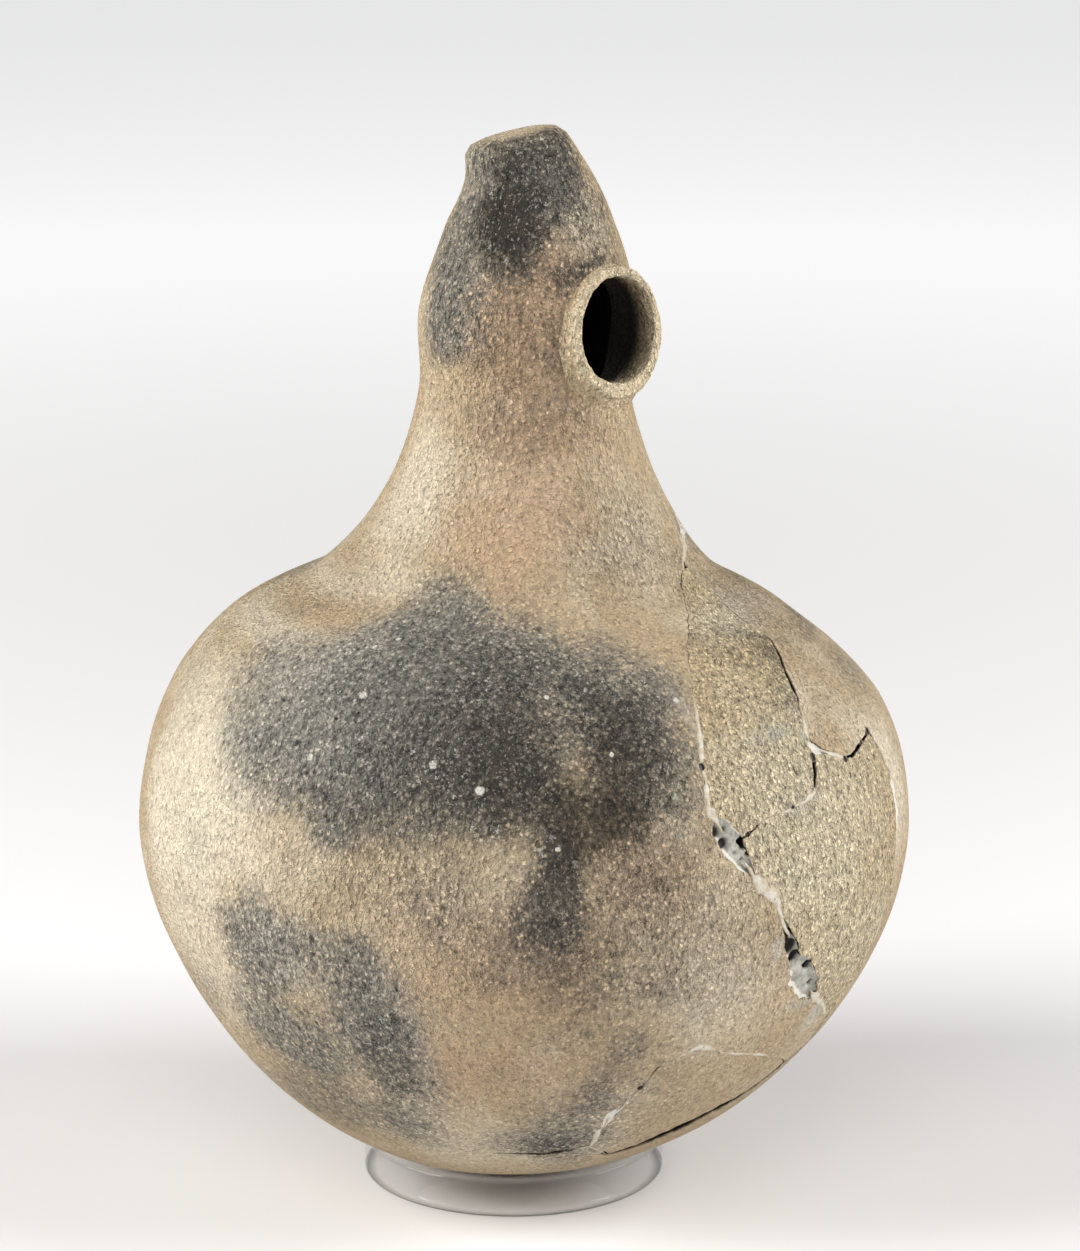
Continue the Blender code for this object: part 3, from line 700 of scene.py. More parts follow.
fine = grain_noise(2600.0, 2.0, 0.0)
grains = most(grain_group, sand_grains(460.0), times(grain_group, sand_grains(900.0), 0.8))
lumps = grain_noise(800.0, 2.0, 3.0)
dents = grain_noise(520.0, 2.0, 5.0)
grit = ease(grain_group, grain_noise(1700.0, 1.0, 7.0), 0.60, 0.70)
pits = ease(grain_group, grain_noise(1200.0, 1.5, 11.0), 0.29, 0.40, 1.0, 0.0)
flecks = most(grain_group, specks(480.0, 3.0, 0.33), specks(105.0, 12.0, 0.12))
flecks = most(grain_group, flecks, specks(1000.0, 3.0, 0.36))
tone = weighed((fine, 0.30), (grains, 0.40), (lumps, 0.45), (dents, 0.25))
tone = math(grain_group, "SUBTRACT", tone, 0.12)
relief = weighed((fine, 0.15), (grains, 0.35), (lumps, 0.60), (dents, 0.60), (pits, -0.25))
grain_layers = {"Tone": tone, "Grit": grit, "Flecks": flecks, "Pits": pits, "Relief": relief}
for label, layer in grain_layers.items():
    grain_group.links.new(layer, grain_out[label])

ASH = (0.330, 0.318, 0.280, 1.0)
SMOKE_FILM = (0.134, 0.128, 0.108, 1.0)
SOOT = (0.030, 0.022, 0.013, 1.0)
GRIT_COLOUR = (0.660, 0.580, 0.440, 1.0)
FLECK_COLOUR = (0.540, 0.530, 0.470, 1.0)
BIG_GRIT_COLOUR = (0.680, 0.660, 0.580, 1.0)
PIT_PAINTED_SHADE = (0.120, 0.085, 0.055, 1.0)
SMEAR_COLOUR = (0.560, 0.550, 0.490, 1.0)
INNER_PAINTED_SHADE = (0.008, 0.006, 0.004, 1.0)
CLAY_ROUGHNESS = (0.92, 0.74)  # bare, and under a film of smoke
CLAY_SPECULAR = 0.35
RELIEF_DEPTH = 0.0045
SMOOTHED = 0.40  # share of the grain that rubbing left where nothing is worn
FILM_ROUGHENS = 0.8
CLAY_CONTRAST = 3.0
STAIN_CONTRAST = 3.6
STAIN_SHARE = 0.98
GRIT_SHARE = 0.30
PIT_SHARE = 0.70
FLECK_SHARES = (0.15, 0.75)  # on clean clay, and under a film of smoke
SOOTED_FLECKS = 0.4
BARED_SHARE = 0.35
SMEAR_SHARE = 0.75
GRIT_CORE = 0.6
GRIT_RAGGED = 0.001


def clay(name, tan, pale, warm, haze_share=0.35, big_grit=()):
    """A sandy clay: tan clouded with pale and warm, grainier where it is worn, stained by films of
    smoke and soot that miss the tops of the grains, smeared with adhesive, and painted near-black brown
    inside and along its broken edges as painted shade, as its points' marks say, with a few large
    grains of grit. Its pale marks are partly painted light, a few smoke marks are painted shade in a
    crease, and its grain's tone and pits carry painted shade between and in the grains."""
    material, tree, shader = new_material(name)
    marks = {label: mark(tree, label) for label in ("inner", *MARK_EDGES)}
    grain = add_node(tree, "Group", node_tree=grain_group).outputs
    where = object_place(tree)

    mottle = noise(tree, where, scale=38.0, detail=6.0, roughness=0.65)
    colour = blend(tree, ease(tree, mottle, 0.45, 0.75, 0.0, 0.6), tan, pale)
    colour = blend(tree, ease(tree, mottle, 0.28, 0.48, 0.5, 0.0), colour, warm)
    # The light mark: paler clay, and painted light on the jar's flanks, lower belly and sherds.
    colour = blend(tree, marks["light"], colour, pale)
    colour = blend(tree, marks["rosy"], colour, warm)

    bare = ease(tree, marks["worn"], 0.0, 1.0, SMOOTHED, 1.0)
    rough = most(tree, bare, times(tree, marks["film"], FILM_ROUGHENS))
    # The tone darkens the colour between the grains' domes, painted shade, besides varying it at
    # random.
    tone = centred(tree, grain["Tone"])
    grain_shade = math(tree, "MULTIPLY_ADD", times(tree, tone, rough), CLAY_CONTRAST, 1.0)
    colour = scaled(tree, colour, grain_shade)
    # Grit is painted pale, and pits are painted dark as painted shade in them.
    for kind, share, shade in (("Grit", GRIT_SHARE, GRIT_COLOUR), ("Pits", PIT_SHARE, PIT_PAINTED_SHADE)):
        spotted = times(tree, grain[kind], times(tree, rough, share))
        colour = blend(tree, spotted, colour, shade)

    # Stains too are darker where the tone is low: painted shade between the grains.
    stain_shade = math(tree, "MULTIPLY_ADD", tone, STAIN_CONTRAST, 1.0)
    clouds = noise(tree, where, scale=26.0, detail=5.0, roughness=0.6)
    hazy = most(tree, marks["film"], ease(tree, clouds, 0.48, 0.72, 0.0, haze_share))
    # Smoke and soot patches in the crease above the collar are painted shade, not stains.
    for cover, stain in ((marks["ash"], ASH), (hazy, SMOKE_FILM), (marks["soot"], SOOT)):
        smoke = add_node(tree, "Group", {"Cover": cover, "Tone": grain["Tone"]}, node_tree=smoke_group)
        share = times(tree, smoke.outputs["Share"], STAIN_SHARE)
        colour = blend(tree, share, colour, scaled(tree, stain[:3], stain_shade))

    flecked = times(tree, grain["Flecks"], ease(tree, marks["film"], 0.0, 0.7, *FLECK_SHARES))
    flecked = times(tree, flecked, ease(tree, marks["soot"], 0.3, 1.0, 1.0, SOOTED_FLECKS))
    colour = blend(tree, flecked, colour, FLECK_COLOUR)
    bared = times(tree, grain["Grit"], times(tree, marks["film"], BARED_SHARE))
    colour = blend(tree, bared, colour, FLECK_COLOUR)
    for turn, station, radius in big_grit:
        middle = wall_point(turn, station)
        off = add_node(tree, "VectorMath", {0: where, 1: middle}, operation="DISTANCE").outputs["Value"]
        off = math(tree, "MULTIPLY_ADD", tone, GRIT_RAGGED, off)
        shown = ease(tree, off, GRIT_CORE * MM * radius, MM * radius, 0.9, 0.0)
        colour = blend(tree, shown, colour, BIG_GRIT_COLOUR)
    colour = blend(tree, times(tree, marks["smear"], SMEAR_SHARE), colour, SMEAR_COLOUR)
    # Painted shade: the inside, the broken edges and the collar's bore are painted near black.
    colour = blend(tree, ease(tree, marks["inner"], 0.0, 0.10), colour, INNER_PAINTED_SHADE)

    height = times(tree, grain["Relief"], bare)
    bump = add_node(tree, "Bump", {"Strength": 1.0, "Distance": RELIEF_DEPTH, "Height": height})
    set_inputs(tree, shader, {
        "Base Color": colour, "Roughness": ease(tree, marks["film"], 0.0, 1.0, *CLAY_ROUGHNESS),
        "Specular IOR Level": CLAY_SPECULAR, "Normal": bump.outputs[0]})
    return material


# Patches of ash, films of smoke, soot, pale, rosy and worn clay and smears of adhesive, each with its
# turn, station, half sizes along and up the wall (mm) and strength. The pale patches are partly paler
# clay and partly painted light: brighter on the jar's left and right flanks, where the lamps fall
# strongest, and on the lower belly. A few film and soot patches are painted shade in the crease above
# the collar.
BODY_ASH = [
    (-84, 4.58, 28, 18, 0.85), (-90, 4.07, 15, 10, 0.5), (-68, 4.88, 24, 22, 0.7),
    (-74, 5.90, 8, 9, 0.7), (-44, 4.76, 24, 15, 0.5), (-94, 2.79, 8, 11, 0.6), (-83, 2.78, 15, 8, 0.55),
    (-74, 2.62, 9, 12, 0.55), (-74, 2.29, 8, 17, 0.55), (-94, 2.42, 15, 12, 0.55),
    (-46, 1.89, 13, 12, 0.5), (-114, 10.7, 7, 12, 0.6), (-101, 9.16, 9, 12, 0.6),
]
BODY_FILM_AND_CREASE_SHADE = [
    (-69, 4.55, 20, 19, 0.5), (-89, 4.10, 15, 9, 0.35), (-80, 3.87, 12, 7, 0.4),
    (-49, 4.26, 4, 12, 0.45), (-60, 4.81, 21, 22, 0.6), (-73, 5.82, 8, 10, 0.55),
    (-59, 4.14, 19, 10, 0.75), (-70, 3.84, 20, 7, 0.65), (-41, 4.80, 15, 12, 0.3),
    (-33, 4.37, 10, 18, 0.85), (-48, 3.56, 6, 11, 0.75), (-50, 3.00, 7, 8, 0.6),
    (-48, 2.83, 14, 7, 0.3), (-97, 2.76, 7, 11, 0.6), (-81, 2.85, 12, 6, 0.4), (-77, 2.66, 8, 10, 0.55),
    (-77, 2.40, 7, 13, 0.6), (-87, 2.46, 12, 11, 0.15), (-95, 2.41, 12, 12, 0.55),
    (-92, 2.06, 19, 12, 0.5), (-47, 1.86, 10, 8, 0.75), (-40, 2.27, 4, 9, 0.5), (-36, 2.48, 5, 6, 0.5),
    # The middle patch on this line darkens a band round the waist below the hood.
    (-43, 2.12, 13, 10, 0.3), (-60, 7.96, 15, 4, 0.2), (-39, 10.9, 8, 9, 0.85),
    (-71, 10.2, 7, 10.5, 0.9), (-96, 10.7, 3, 11, 0.2), (-106, 9.6, 9, 12, 0.65),
    # Painted shade: the last patch here and the first two below, in the crease above the collar's top.
    (-112, 10.3, 8, 14, 0.25), (-104, 8.7, 5, 5, 0.65), (-31, 9.39, 3, 2.5, 0.3),
    (-21, 9.55, 4, 2.4, 0.6), (-8, 9.62, 4, 2.4, 0.6), (-24, 10.6, 4, 6, 0.3), (-30, 11.4, 9, 5, 0.75),
    (-75, 11.2, 6, 5, 0.5), (36, 4.87, 14, 4, 0.45), (32, 4.45, 10, 5, 0.45), (46, 5.6, 10, 4, 0.4),
]
BODY_SOOT_AND_CREASE_SHADE = [
    (-60, 4.29, 19, 12, 0.5), (-53, 4.65, 10, 14, 0.62), (-52, 4.03, 12, 8, 0.55),
    (-38, 4.2, 7, 15, 0.85), (-33, 4.45, 6, 9, 0.6), (-46, 4.03, 8, 8, 0.45), (-41, 4.0, 5, 6, 0.6),
    (-45, 3.64, 8, 5, 0.6), (-47, 3.70, 5, 9, 0.8), (-48, 3.27, 5, 6, 0.6), (-42, 3.82, 8, 6, 0.8),
    # The third patch on this line darkens a band round the waist below the hood.
    (-38, 3.86, 6, 6, 0.5), (-50, 2.95, 6, 4, 0.35), (-50, 7.85, 17, 7, 0.2), (-75, 2.36, 5, 11, 0.25),
    (-46, 1.77, 6, 5, 0.4), (-70, 10.15, 6.5, 9.5, 1.0), (-59, 10.9, 4, 6, 0.5),
    # Painted shade: the last two patches on this line, in the crease above the collar's top.
    (-30, 11.5, 9, 4, 0.45), (-26, 9.47, 3, 1.6, 0.4), (-17, 9.57, 4, 1.5, 0.6),
]
BODY_PALE_AND_PAINTED_LIGHT = [
    (-112, 3.57, 18, 21, 1.0), (-103, 3.43, 22, 12, 0.8), (-120, 4.45, 12, 8, 0.6),
    (-104, 7.1, 9, 14, 0.8), (-95, 6.2, 10, 4, 0.6), (15, 3.5, 17, 14, 0.9), (-23, 2.63, 15, 12, 0.5),
    (-62, 1.73, 13, 13, 0.5), (-9, 6.41, 8, 13, 0.5), (8, 5.48, 13, 6, 1.0), (-12, 10.1, 7, 7, 0.6),
    (-60, 3.0, 16, 11, 0.55), (-37, 3.2, 12, 9, 0.35), (-36, 2.76, 9, 8, 0.35),
    (-24, 3.02, 10, 10, 0.4), (-109, 2.66, 19, 16, 0.7), (-121, 5.99, 20, 3, 0.6),
    (-122, 5.23, 19, 4, 0.7),
]
BODY_ROSY = [
    # The third patch on this line tints a darker band round the waist below the hood.
    (-55, 8.9, 14, 16, 0.8), (-54, 6.9, 14, 15, 0.7), (-50, 7.9, 16, 9, 0.6), (-56, 2.85, 21, 13, 0.6),
    (-53, 2.35, 17, 12, 0.6), (-36, 3.3, 12, 8, 0.6),
]
BODY_WORN = [
    (-64, 3.25, 18, 8, 0.5), (-59, 2.93, 16, 10, 0.5), (-37, 3.23, 14, 12, 0.9),
    (-42, 2.84, 16, 11, 0.8), (-17, 6.45, 12, 13, 0.5), (-26, 2.85, 19, 14, 0.5),
    (-56, 8.9, 15, 14, 0.6), (-6, 10.1, 9, 8, 0.8),
]
BODY_SMEARS = [
    (-14, 2.79, 2, 2.5, 0.7), (-4, 2.53, 6, 2.4, 0.5), (2, 2.43, 3, 4.5, 0.7), (-22, 4.47, 1, 6, 0.4),
]
BUFF = (0.510, 0.395, 0.250, 1.0)
CREAM = (0.740, 0.655, 0.505, 1.0)
ROSE = (0.520, 0.355, 0.225, 1.0)
# Turn, station and radius (mm) of the few large grains of grit that show.
BIG_GRIT = [
    (-80, 4.78, 0.9), (-87, 4.23, 0.8), (-66, 4.28, 0.9), (-59, 4.10, 1.0), (-38, 4.35, 0.6),
    (-83, 5.31, 0.6), (-46, 4.83, 0.5), (-22.5, 4.71, 0.6), (-48, 3.61, 0.6), (-79, 5.46, 0.5),
]
buff_clay = clay("smoked_buff_clay", BUFF, CREAM, ROSE, big_grit=BIG_GRIT)
points, faces, spots = wall_shell(body_cells, poles=True)
marks = clay_marks(spots, ash=BODY_ASH, film=BODY_FILM_AND_CREASE_SHADE, soot=BODY_SOOT_AND_CREASE_SHADE, light=BODY_PALE_AND_PAINTED_LIGHT,
                   rosy=BODY_ROSY, worn=BODY_WORN, smear=BODY_SMEARS)
set_piece("jar_wall", points, faces, marks, buff_clay, "jar", "buff_clay", "vessel_body")


# The sherds: three pieces of the same wall, broken out and set back. The two on the shoulder side
# lost their smoothed skin, so their coarse yellow sand shows, and the third is a strip off the base.

YELLOW = (0.730, 0.575, 0.350, 1.0)
STRAW = (0.830, 0.720, 0.510, 1.0)
OCHRE = (0.540, 0.395, 0.230, 1.0)
SHERD_FILM = [
    (13, 4.86, 10, 6, 0.45), (-1, 5.18, 10, 6, 0.2), (2, 4.50, 6, 5, 0.35), (14, 4.24, 11, 4, 0.35),
]
# Pale patches on the sherds: partly paler sand, partly painted light where the lamps fall on the right.
SHERD_PALE_AND_PAINTED_LIGHT = [
    (-10, 3.79, 16, 15, 0.9), (4, 3.70, 11, 13, 0.7), (8, 5.48, 13, 6, 1.0), (4, 2.65, 16, 12, 0.7),
    (-10, 3.08, 15, 10, 1.0),
]
SHERD_SMEARS = [
    (-7, 4.32, 6, 1.2, 0.7), (-2, 4.23, 2, 1.6, 0.8), (0, 4.35, 2, 4, 0.45), (2, 4.07, 4, 0.8, 0.5),
    (-8, 3.74, 5, 0.9, 0.45),
]
SHERD_WORN = [(0, 4.0, 400, 400, 0.75)]  # all over both
sherd_clay = clay("bare_yellow_clay", YELLOW, STRAW, OCHRE, haze_share=0.04)
for name, node, kept in (
        ("shoulder_piece", "shoulder_sherd", shoulder_cells), ("side_piece", "side_sherd", side_cells)):
    points, faces, spots = wall_shell(kept)
    marks = clay_marks(spots, film=SHERD_FILM, light=SHERD_PALE_AND_PAINTED_LIGHT, smear=SHERD_SMEARS, worn=SHERD_WORN)
    set_piece(name, points, faces, marks, sherd_clay, "jar", "yellow_clay", node)
points, faces, spots = wall_shell(base_cells)
marks = clay_marks(spots, ash=BODY_ASH, film=BODY_FILM_AND_CREASE_SHADE, light=BODY_PALE_AND_PAINTED_LIGHT, worn=BODY_WORN)
set_piece("base_piece", points, faces, marks, buff_clay, "jar", "buff_clay", "base_edge_sherd")


# The mouth's collar: a coil of the same clay laid round the hole in the hood's front and luted on,
# thumbed to a rounded lip. It hangs a little low, and its flank is drawn back onto the hood.

COLLAR_LIP = 0.0021  # width of the lip, with its edges
COLLAR_EDGE = 0.0005  # radius of its inner edge
COLLAR_ROUND = 0.0009  # radius of its outer edge
COLLAR_FILLET = 0.0013  # how far the flank's foot is drawn out on the hood
COLLAR_FLARE = 0.35  # how far the flank spreads for each length that it falls back
COLLAR_SAG = 0.0021
LIP_SAG = 0.0006
LIP_CROWN = 0.00012
COLLAR_SAG_ANGLE = np.radians(-77.0)
BORE_PAST_WALL = 0.0004
FLANK_TUCK = 0.0015  # how deep in the wall the flank ends
FALL_POWER, FILLET_POWER = 1.3, 5
# Height, cell and seed of each layer of the marks that fingers left.
COLLAR_PINCHES = ((0.00022, 0.0045, 5), (0.00016, 0.0018, 6), (0.00012, 0.0010, 7))
COLLAR_SEGMENTS = 240
BORE_ROWS = 24
ROUND_ROWS = 7
FLANK_ROWS = 14


def collar_rings(angle, radius, out, sag):
    """Points of oval rings about the mouth's middle: circles of a radius, pushed towards the low side
    by twice the sag there and by nothing at the high side."""
    drop = sag * (1 + np.cos(angle - COLLAR_SAG_ANGLE))
    across = radius * np.cos(angle) + drop * np.cos(COLLAR_SAG_ANGLE)
    up = radius * np.sin(angle) + drop * np.sin(COLLAR_SAG_ANGLE)
    return across, up, np.broadcast_to(out, across.shape)


def collar_skin():
    """The collar as one closed tube bent round the mouth: up the bore from the hood's inside, over the
    inner edge, the lip and the outer round, down a flank that flares onto the hood, and back inside,
    with noise that pushes the whole in and out from the mouth's middle."""
    angle = np.linspace(0, 2 * np.pi, COLLAR_SEGMENTS, endpoint=False)[None]
    across, up, _ = collar_rings(angle, MOUTH_RADIUS, 0.0, 0.0)
    bore_end = hood_depth(across, up, WALL) - BORE_PAST_WALL
    rise = np.linspace(0, 1, BORE_ROWS)[:, None]
    bore = collar_rings(angle + 0 * rise, MOUTH_RADIUS, bore_end * (1 - rise) - COLLAR_EDGE * rise, 0.0)

    bend = np.linspace(0, np.pi / 2, ROUND_ROWS)[1:, None]
    edge = collar_rings(angle + 0 * bend, MOUTH_RADIUS + COLLAR_EDGE * (1 - np.cos(bend)),
                        COLLAR_EDGE * (np.sin(bend) - 1), 0.0)
    outer = MOUTH_RADIUS + COLLAR_LIP
    lip = np.linspace(0, 1, ROUND_ROWS)[1:-1, None]
    lip_width = COLLAR_LIP - COLLAR_EDGE - COLLAR_ROUND
    face = collar_rings(angle + 0 * lip, MOUTH_RADIUS + COLLAR_EDGE + lip_width * lip,
                        LIP_CROWN * np.sin(np.pi * lip), LIP_SAG * lip)
    round_over = collar_rings(angle + 0 * bend, outer - COLLAR_ROUND * (1 - np.sin(bend)),
                              COLLAR_ROUND * (np.cos(bend) - 1), LIP_SAG)

    across, up, _ = collar_rings(angle, outer + COLLAR_FILLET, 0.0, COLLAR_SAG)
    flare = COLLAR_FLARE * np.maximum(-hood_depth(across, up), 0.0)
    root_radius = outer + flare + COLLAR_FILLET
    across, up, _ = collar_rings(angle, root_radius, 0.0, COLLAR_SAG)
    root = np.minimum(hood_depth(across, up), -COLLAR_ROUND)
    fall = np.linspace(0, 1, FLANK_ROWS)[1:, None]
    flank = collar_rings(angle + 0 * fall, outer + flare * fall + COLLAR_FILLET * fall**FILLET_POWER,
                         -COLLAR_ROUND + (root + COLLAR_ROUND) * (1 - (1 - fall) ** FALL_POWER),
                         LIP_SAG + (COLLAR_SAG - LIP_SAG) * fall)
    tuck = collar_rings(angle, root_radius, root - FLANK_TUCK, COLLAR_SAG)
    rows = [np.concatenate(part) for part in zip(bore, edge, face, round_over, flank, tuck)]
    points = from_mouth(*rows)
    spread = points - mouth_middle
    spread /= np.linalg.norm(spread, axis=-1, keepdims=True)
    return points + spread * layered_noise(points, *COLLAR_PINCHES)[..., None]


def closed_tube(points):
    """Faces of a grid of points that closes on itself both ways."""
    return tube_faces(*points.shape[:2], closed=True).reshape(-1, 4).tolist()


COLLAR_TAN = (0.600, 0.455, 0.275, 1.0)
COLLAR_CREAM = (0.760, 0.640, 0.440, 1.0)
COLLAR_WORN = 0.3
BORE_LIT = 0.0060
BORE_SHADE = 0.1
LIP_PALE_OUT, LIP_PALE_REACH = -0.0003, 0.0018
collar_clay = clay("collar_clay", COLLAR_TAN, COLLAR_CREAM, ROSE, haze_share=0.1)
collar = collar_skin()
_, _, collar_out = to_mouth(collar)
collar_depth = np.where(np.arange(len(collar))[:, None] < BORE_ROWS, -collar_out, 0.0)
# The bore's inner mark grows with depth, so the bore is painted darker deeper in: painted shade.
collar_marks = {
    "inner": BORE_SHADE * np.clip(collar_depth / BORE_LIT, 0, 1),
    "worn": np.full_like(collar_depth, COLLAR_WORN),
    "light": np.clip(1 - np.abs(collar_out - LIP_PALE_OUT) / LIP_PALE_REACH, 0, 1)}
set_piece("mouth_rim", collar.reshape(-1, 3), closed_tube(collar), collar_marks, collar_clay, "jar",
          "collar_clay", "mouth_collar")


# The fillings: grey filler pressed into the places where chips of the wall are lost, set a little
# below the surface, lumpy, with air holes painted near black as painted shade, and whitened along
# the edges by the adhesive.

FILL_COLUMNS = 17
FILL_LAP = 0.00012
FILL_SINK = 0.00035
SINK_POWER, HOLLOW_POWER = 4, 6  # how flat the sunk middle is, and how steep a hollow's side
FILL_LUMP = 0.00022
LUMP_CELL, SMALL_LUMP_CELL = 0.0016, 0.0007
HOLLOW_CELL, HOLLOW_RAGGED = 0.0008, 0.25
# Depth at which a hollow's painted shade is full.
HOLLOW_SHADE_DEPTH = 0.0012
# How far across a filling its chalky edges start, and the width over which they whiten.
CHALK_EDGES = {-1: (0.45, 0.3), 1: (0.8, 0.2)}
FILL_SEEDS = range(100, 160, 10)
# The break, the filling's two ends on it (turn and station), its whiteness, and its hollows: turn,
# station, radius and depth (mm).
FILLINGS = {
    "neck_fill": (main_break, (36, 6.66), (21, 6.40), 0.7, []),
    "upper_fill": (main_break, (-25, 3.86), (-18.3, 3.14), 0.0, [
        (-24.5, 3.65, 1.0, 1.0), (-23.4, 3.54, 1.0, 1.2), (-20.1, 3.52, 0.9, 2.0),
        (-23.0, 3.66, 0.6, 0.7), (-21.8, 3.44, 0.5, 0.5), (-20.6, 3.38, 0.4, 0.6),
        (-19.4, 3.42, 0.6, 0.8)]),
    "lower_fill": (main_break, (-14, 2.92), (-1, 2.50), 0.0, [
        (-12.4, 2.83, 1.4, 1.8), (-11.2, 2.78, 1.5, 1.9), (-10.0, 2.73, 1.2, 1.7),
        (-6.4, 2.68, 0.9, 2.2), (-3.9, 2.59, 0.6, 1.8), (-9.0, 2.65, 0.6, 0.4)]),
    "junction_fill": (side_break, (0.5, 4.38), (3, 4.02), 1.0, [(-3.1, 4.10, 1.0, 2.2)]),
    "side_fill": (side_break, (18, 3.75), (19, 3.10), 0.9, []),
    "base_fill": (base_break, (-37, 1.97), (-34, 2.18), 0.8, [(-34.6, 2.16, 0.5, 1.0)]),
}


def place_on(line, turn, station):
    """The index of a line's nearest point to a turn and station."""
    return np.linalg.norm(line.point - wall_point(turn, station), axis=1).argmin()


def filling(line, first, last, white, hollows, seed):
    """A strip of filler along a break: at each place of the line a row across its open width, sunk,
    lumped by noise and dished at the hollows, over a flat back one wall in. Also how hollow and how
    white each point is."""
    span = slice(place_on(line, *first), place_on(line, *last) + 1)
    middle, side, normal = (values[span][:, None] for values in (line.point, line.side, line.normal))
    across = np.linspace(-1, 1, FILL_COLUMNS)
    half = (line.gap[span] / 2 + FILL_LAP)[:, None]
    top = middle + (half * across)[..., None] * side
    lumps = layered_noise(
        top, (FILL_LUMP, LUMP_CELL, seed), (FILL_LUMP / 2, SMALL_LUMP_CELL, seed + 1))
    sunk = FILL_SINK * (1 - white) * (1 - across**SINK_POWER)
    ragged = 1 + HOLLOW_RAGGED * lattice_noise(top, HOLLOW_CELL, seed + 2)
    hollow = np.zeros(top.shape[:2])
    for turn, station, radius, depth in hollows:
        off = np.linalg.norm(top - wall_point(turn, station), axis=-1) * ragged / (MM * radius)
        hollow = np.maximum(hollow, MM * depth / (1 + off**HOLLOW_POWER))
    top = top + (lumps - sunk - hollow)[..., None] * normal
    back = middle + (half * np.array([1.0, -1.0]))[..., None] * side - WALL * normal
    edges = sum(np.clip((way * across - start) / fade, 0, 1)
                for way, (start, fade) in CHALK_EDGES.items())
    chalk = np.broadcast_to(np.maximum(white, edges), hollow.shape)
    plain = np.zeros(back.shape[:2])
    return (np.concatenate([top, back], axis=1), np.concatenate([hollow / HOLLOW_SHADE_DEPTH, plain], axis=1),
            np.concatenate([chalk, plain], axis=1))


def capped_tube(points):
    """Faces of a grid of points whose rows run round a tube, with a cap on its first and last row."""
    rows, columns = points.shape[:2]
    first_row, last_row = range(columns), range((rows - 1) * columns, rows * columns)
    caps = [list(first_row)[::-1], list(last_row)]
    return tube_faces(rows, columns).reshape(-1, 4).tolist() + caps


FILL_GREY = (0.430, 0.420, 0.370, 1.0)
FILL_DARK = (0.225, 0.220, 0.185, 1.0)
HOLE_PAINTED_SHADE = (0.016, 0.014, 0.011, 1.0)
CHALK = (0.620, 0.605, 0.535, 1.0)
FILL_RELIEF, FILL_BUMP = 0.0003, 0.6
CHALK_MOTTLE = 1.2
grey_filler, tree, shader = new_material("grey_filler")
mottle = noise(tree, object_place(tree), scale=700.0, detail=4.0, roughness=0.65)
chalky = math(tree, "ADD", mark(tree, "chalk"), times(tree, centred(tree, mottle), CHALK_MOTTLE))
colour = blend(tree, ease(tree, mottle, 0.35, 0.65), FILL_DARK, FILL_GREY)
colour = blend(tree, ease(tree, chalky, 0.35, 0.75), colour, CHALK)
# Painted shade: hollows darken to near black with depth.
colour = blend(tree, ease(tree, mark(tree, "hollow"), 0.15, 0.75), colour, HOLE_PAINTED_SHADE)
bump = add_node(tree, "Bump", {"Strength": FILL_BUMP, "Distance": FILL_RELIEF, "Height": mottle})
set_inputs(tree, shader, {
    "Base Color": colour, "Roughness": ease(tree, mottle, 0.3, 0.7, 0.45, 0.75),
    "Normal": bump.outputs[0]})

for seed, (node, facts) in zip(FILL_SEEDS, FILLINGS.items()):
    strip, hollow, chalk = filling(*facts, seed)
    set_piece(node.replace("fill", "filler"), strip.reshape(-1, 3), capped_tube(strip),
              {"hollow": hollow, "chalk": chalk}, grey_filler, "jar", "grey_fill", node)


# The adhesive: clear glue that was squeezed out of the joints and dried whitish, left as low ragged
# beads and smears along the breaks, with gaps where a joint stayed open.

BEAD_HEIGHT = 0.00022
BEAD_ROOT = 0.0006
BEAD_SINK = 0.25  # share of the height that lies below the wall's surface
BEAD_LOSS = 0.00022  # width that shrinks to nothing
BEAD_FULL = 0.0008  # width that has the full height
BEAD_DRIFT, DRIFT_CELL = 0.25, 0.003
RAGGED_SHARE, RAGGED_CELL = 0.55, 0.0022
FRAY_SHARE, FRAY_CELL = 0.35, 0.0009
BEAD_SEEDS = range(200, 250, 10)
HOLE_RIM = 0.0005
HOLE_EDGE = 0.0002
HOLE_DEPTH = 0.0006
BEAD_COLUMNS = 13
BEAD_SHAPE = np.linspace(0, np.pi, BEAD_COLUMNS)


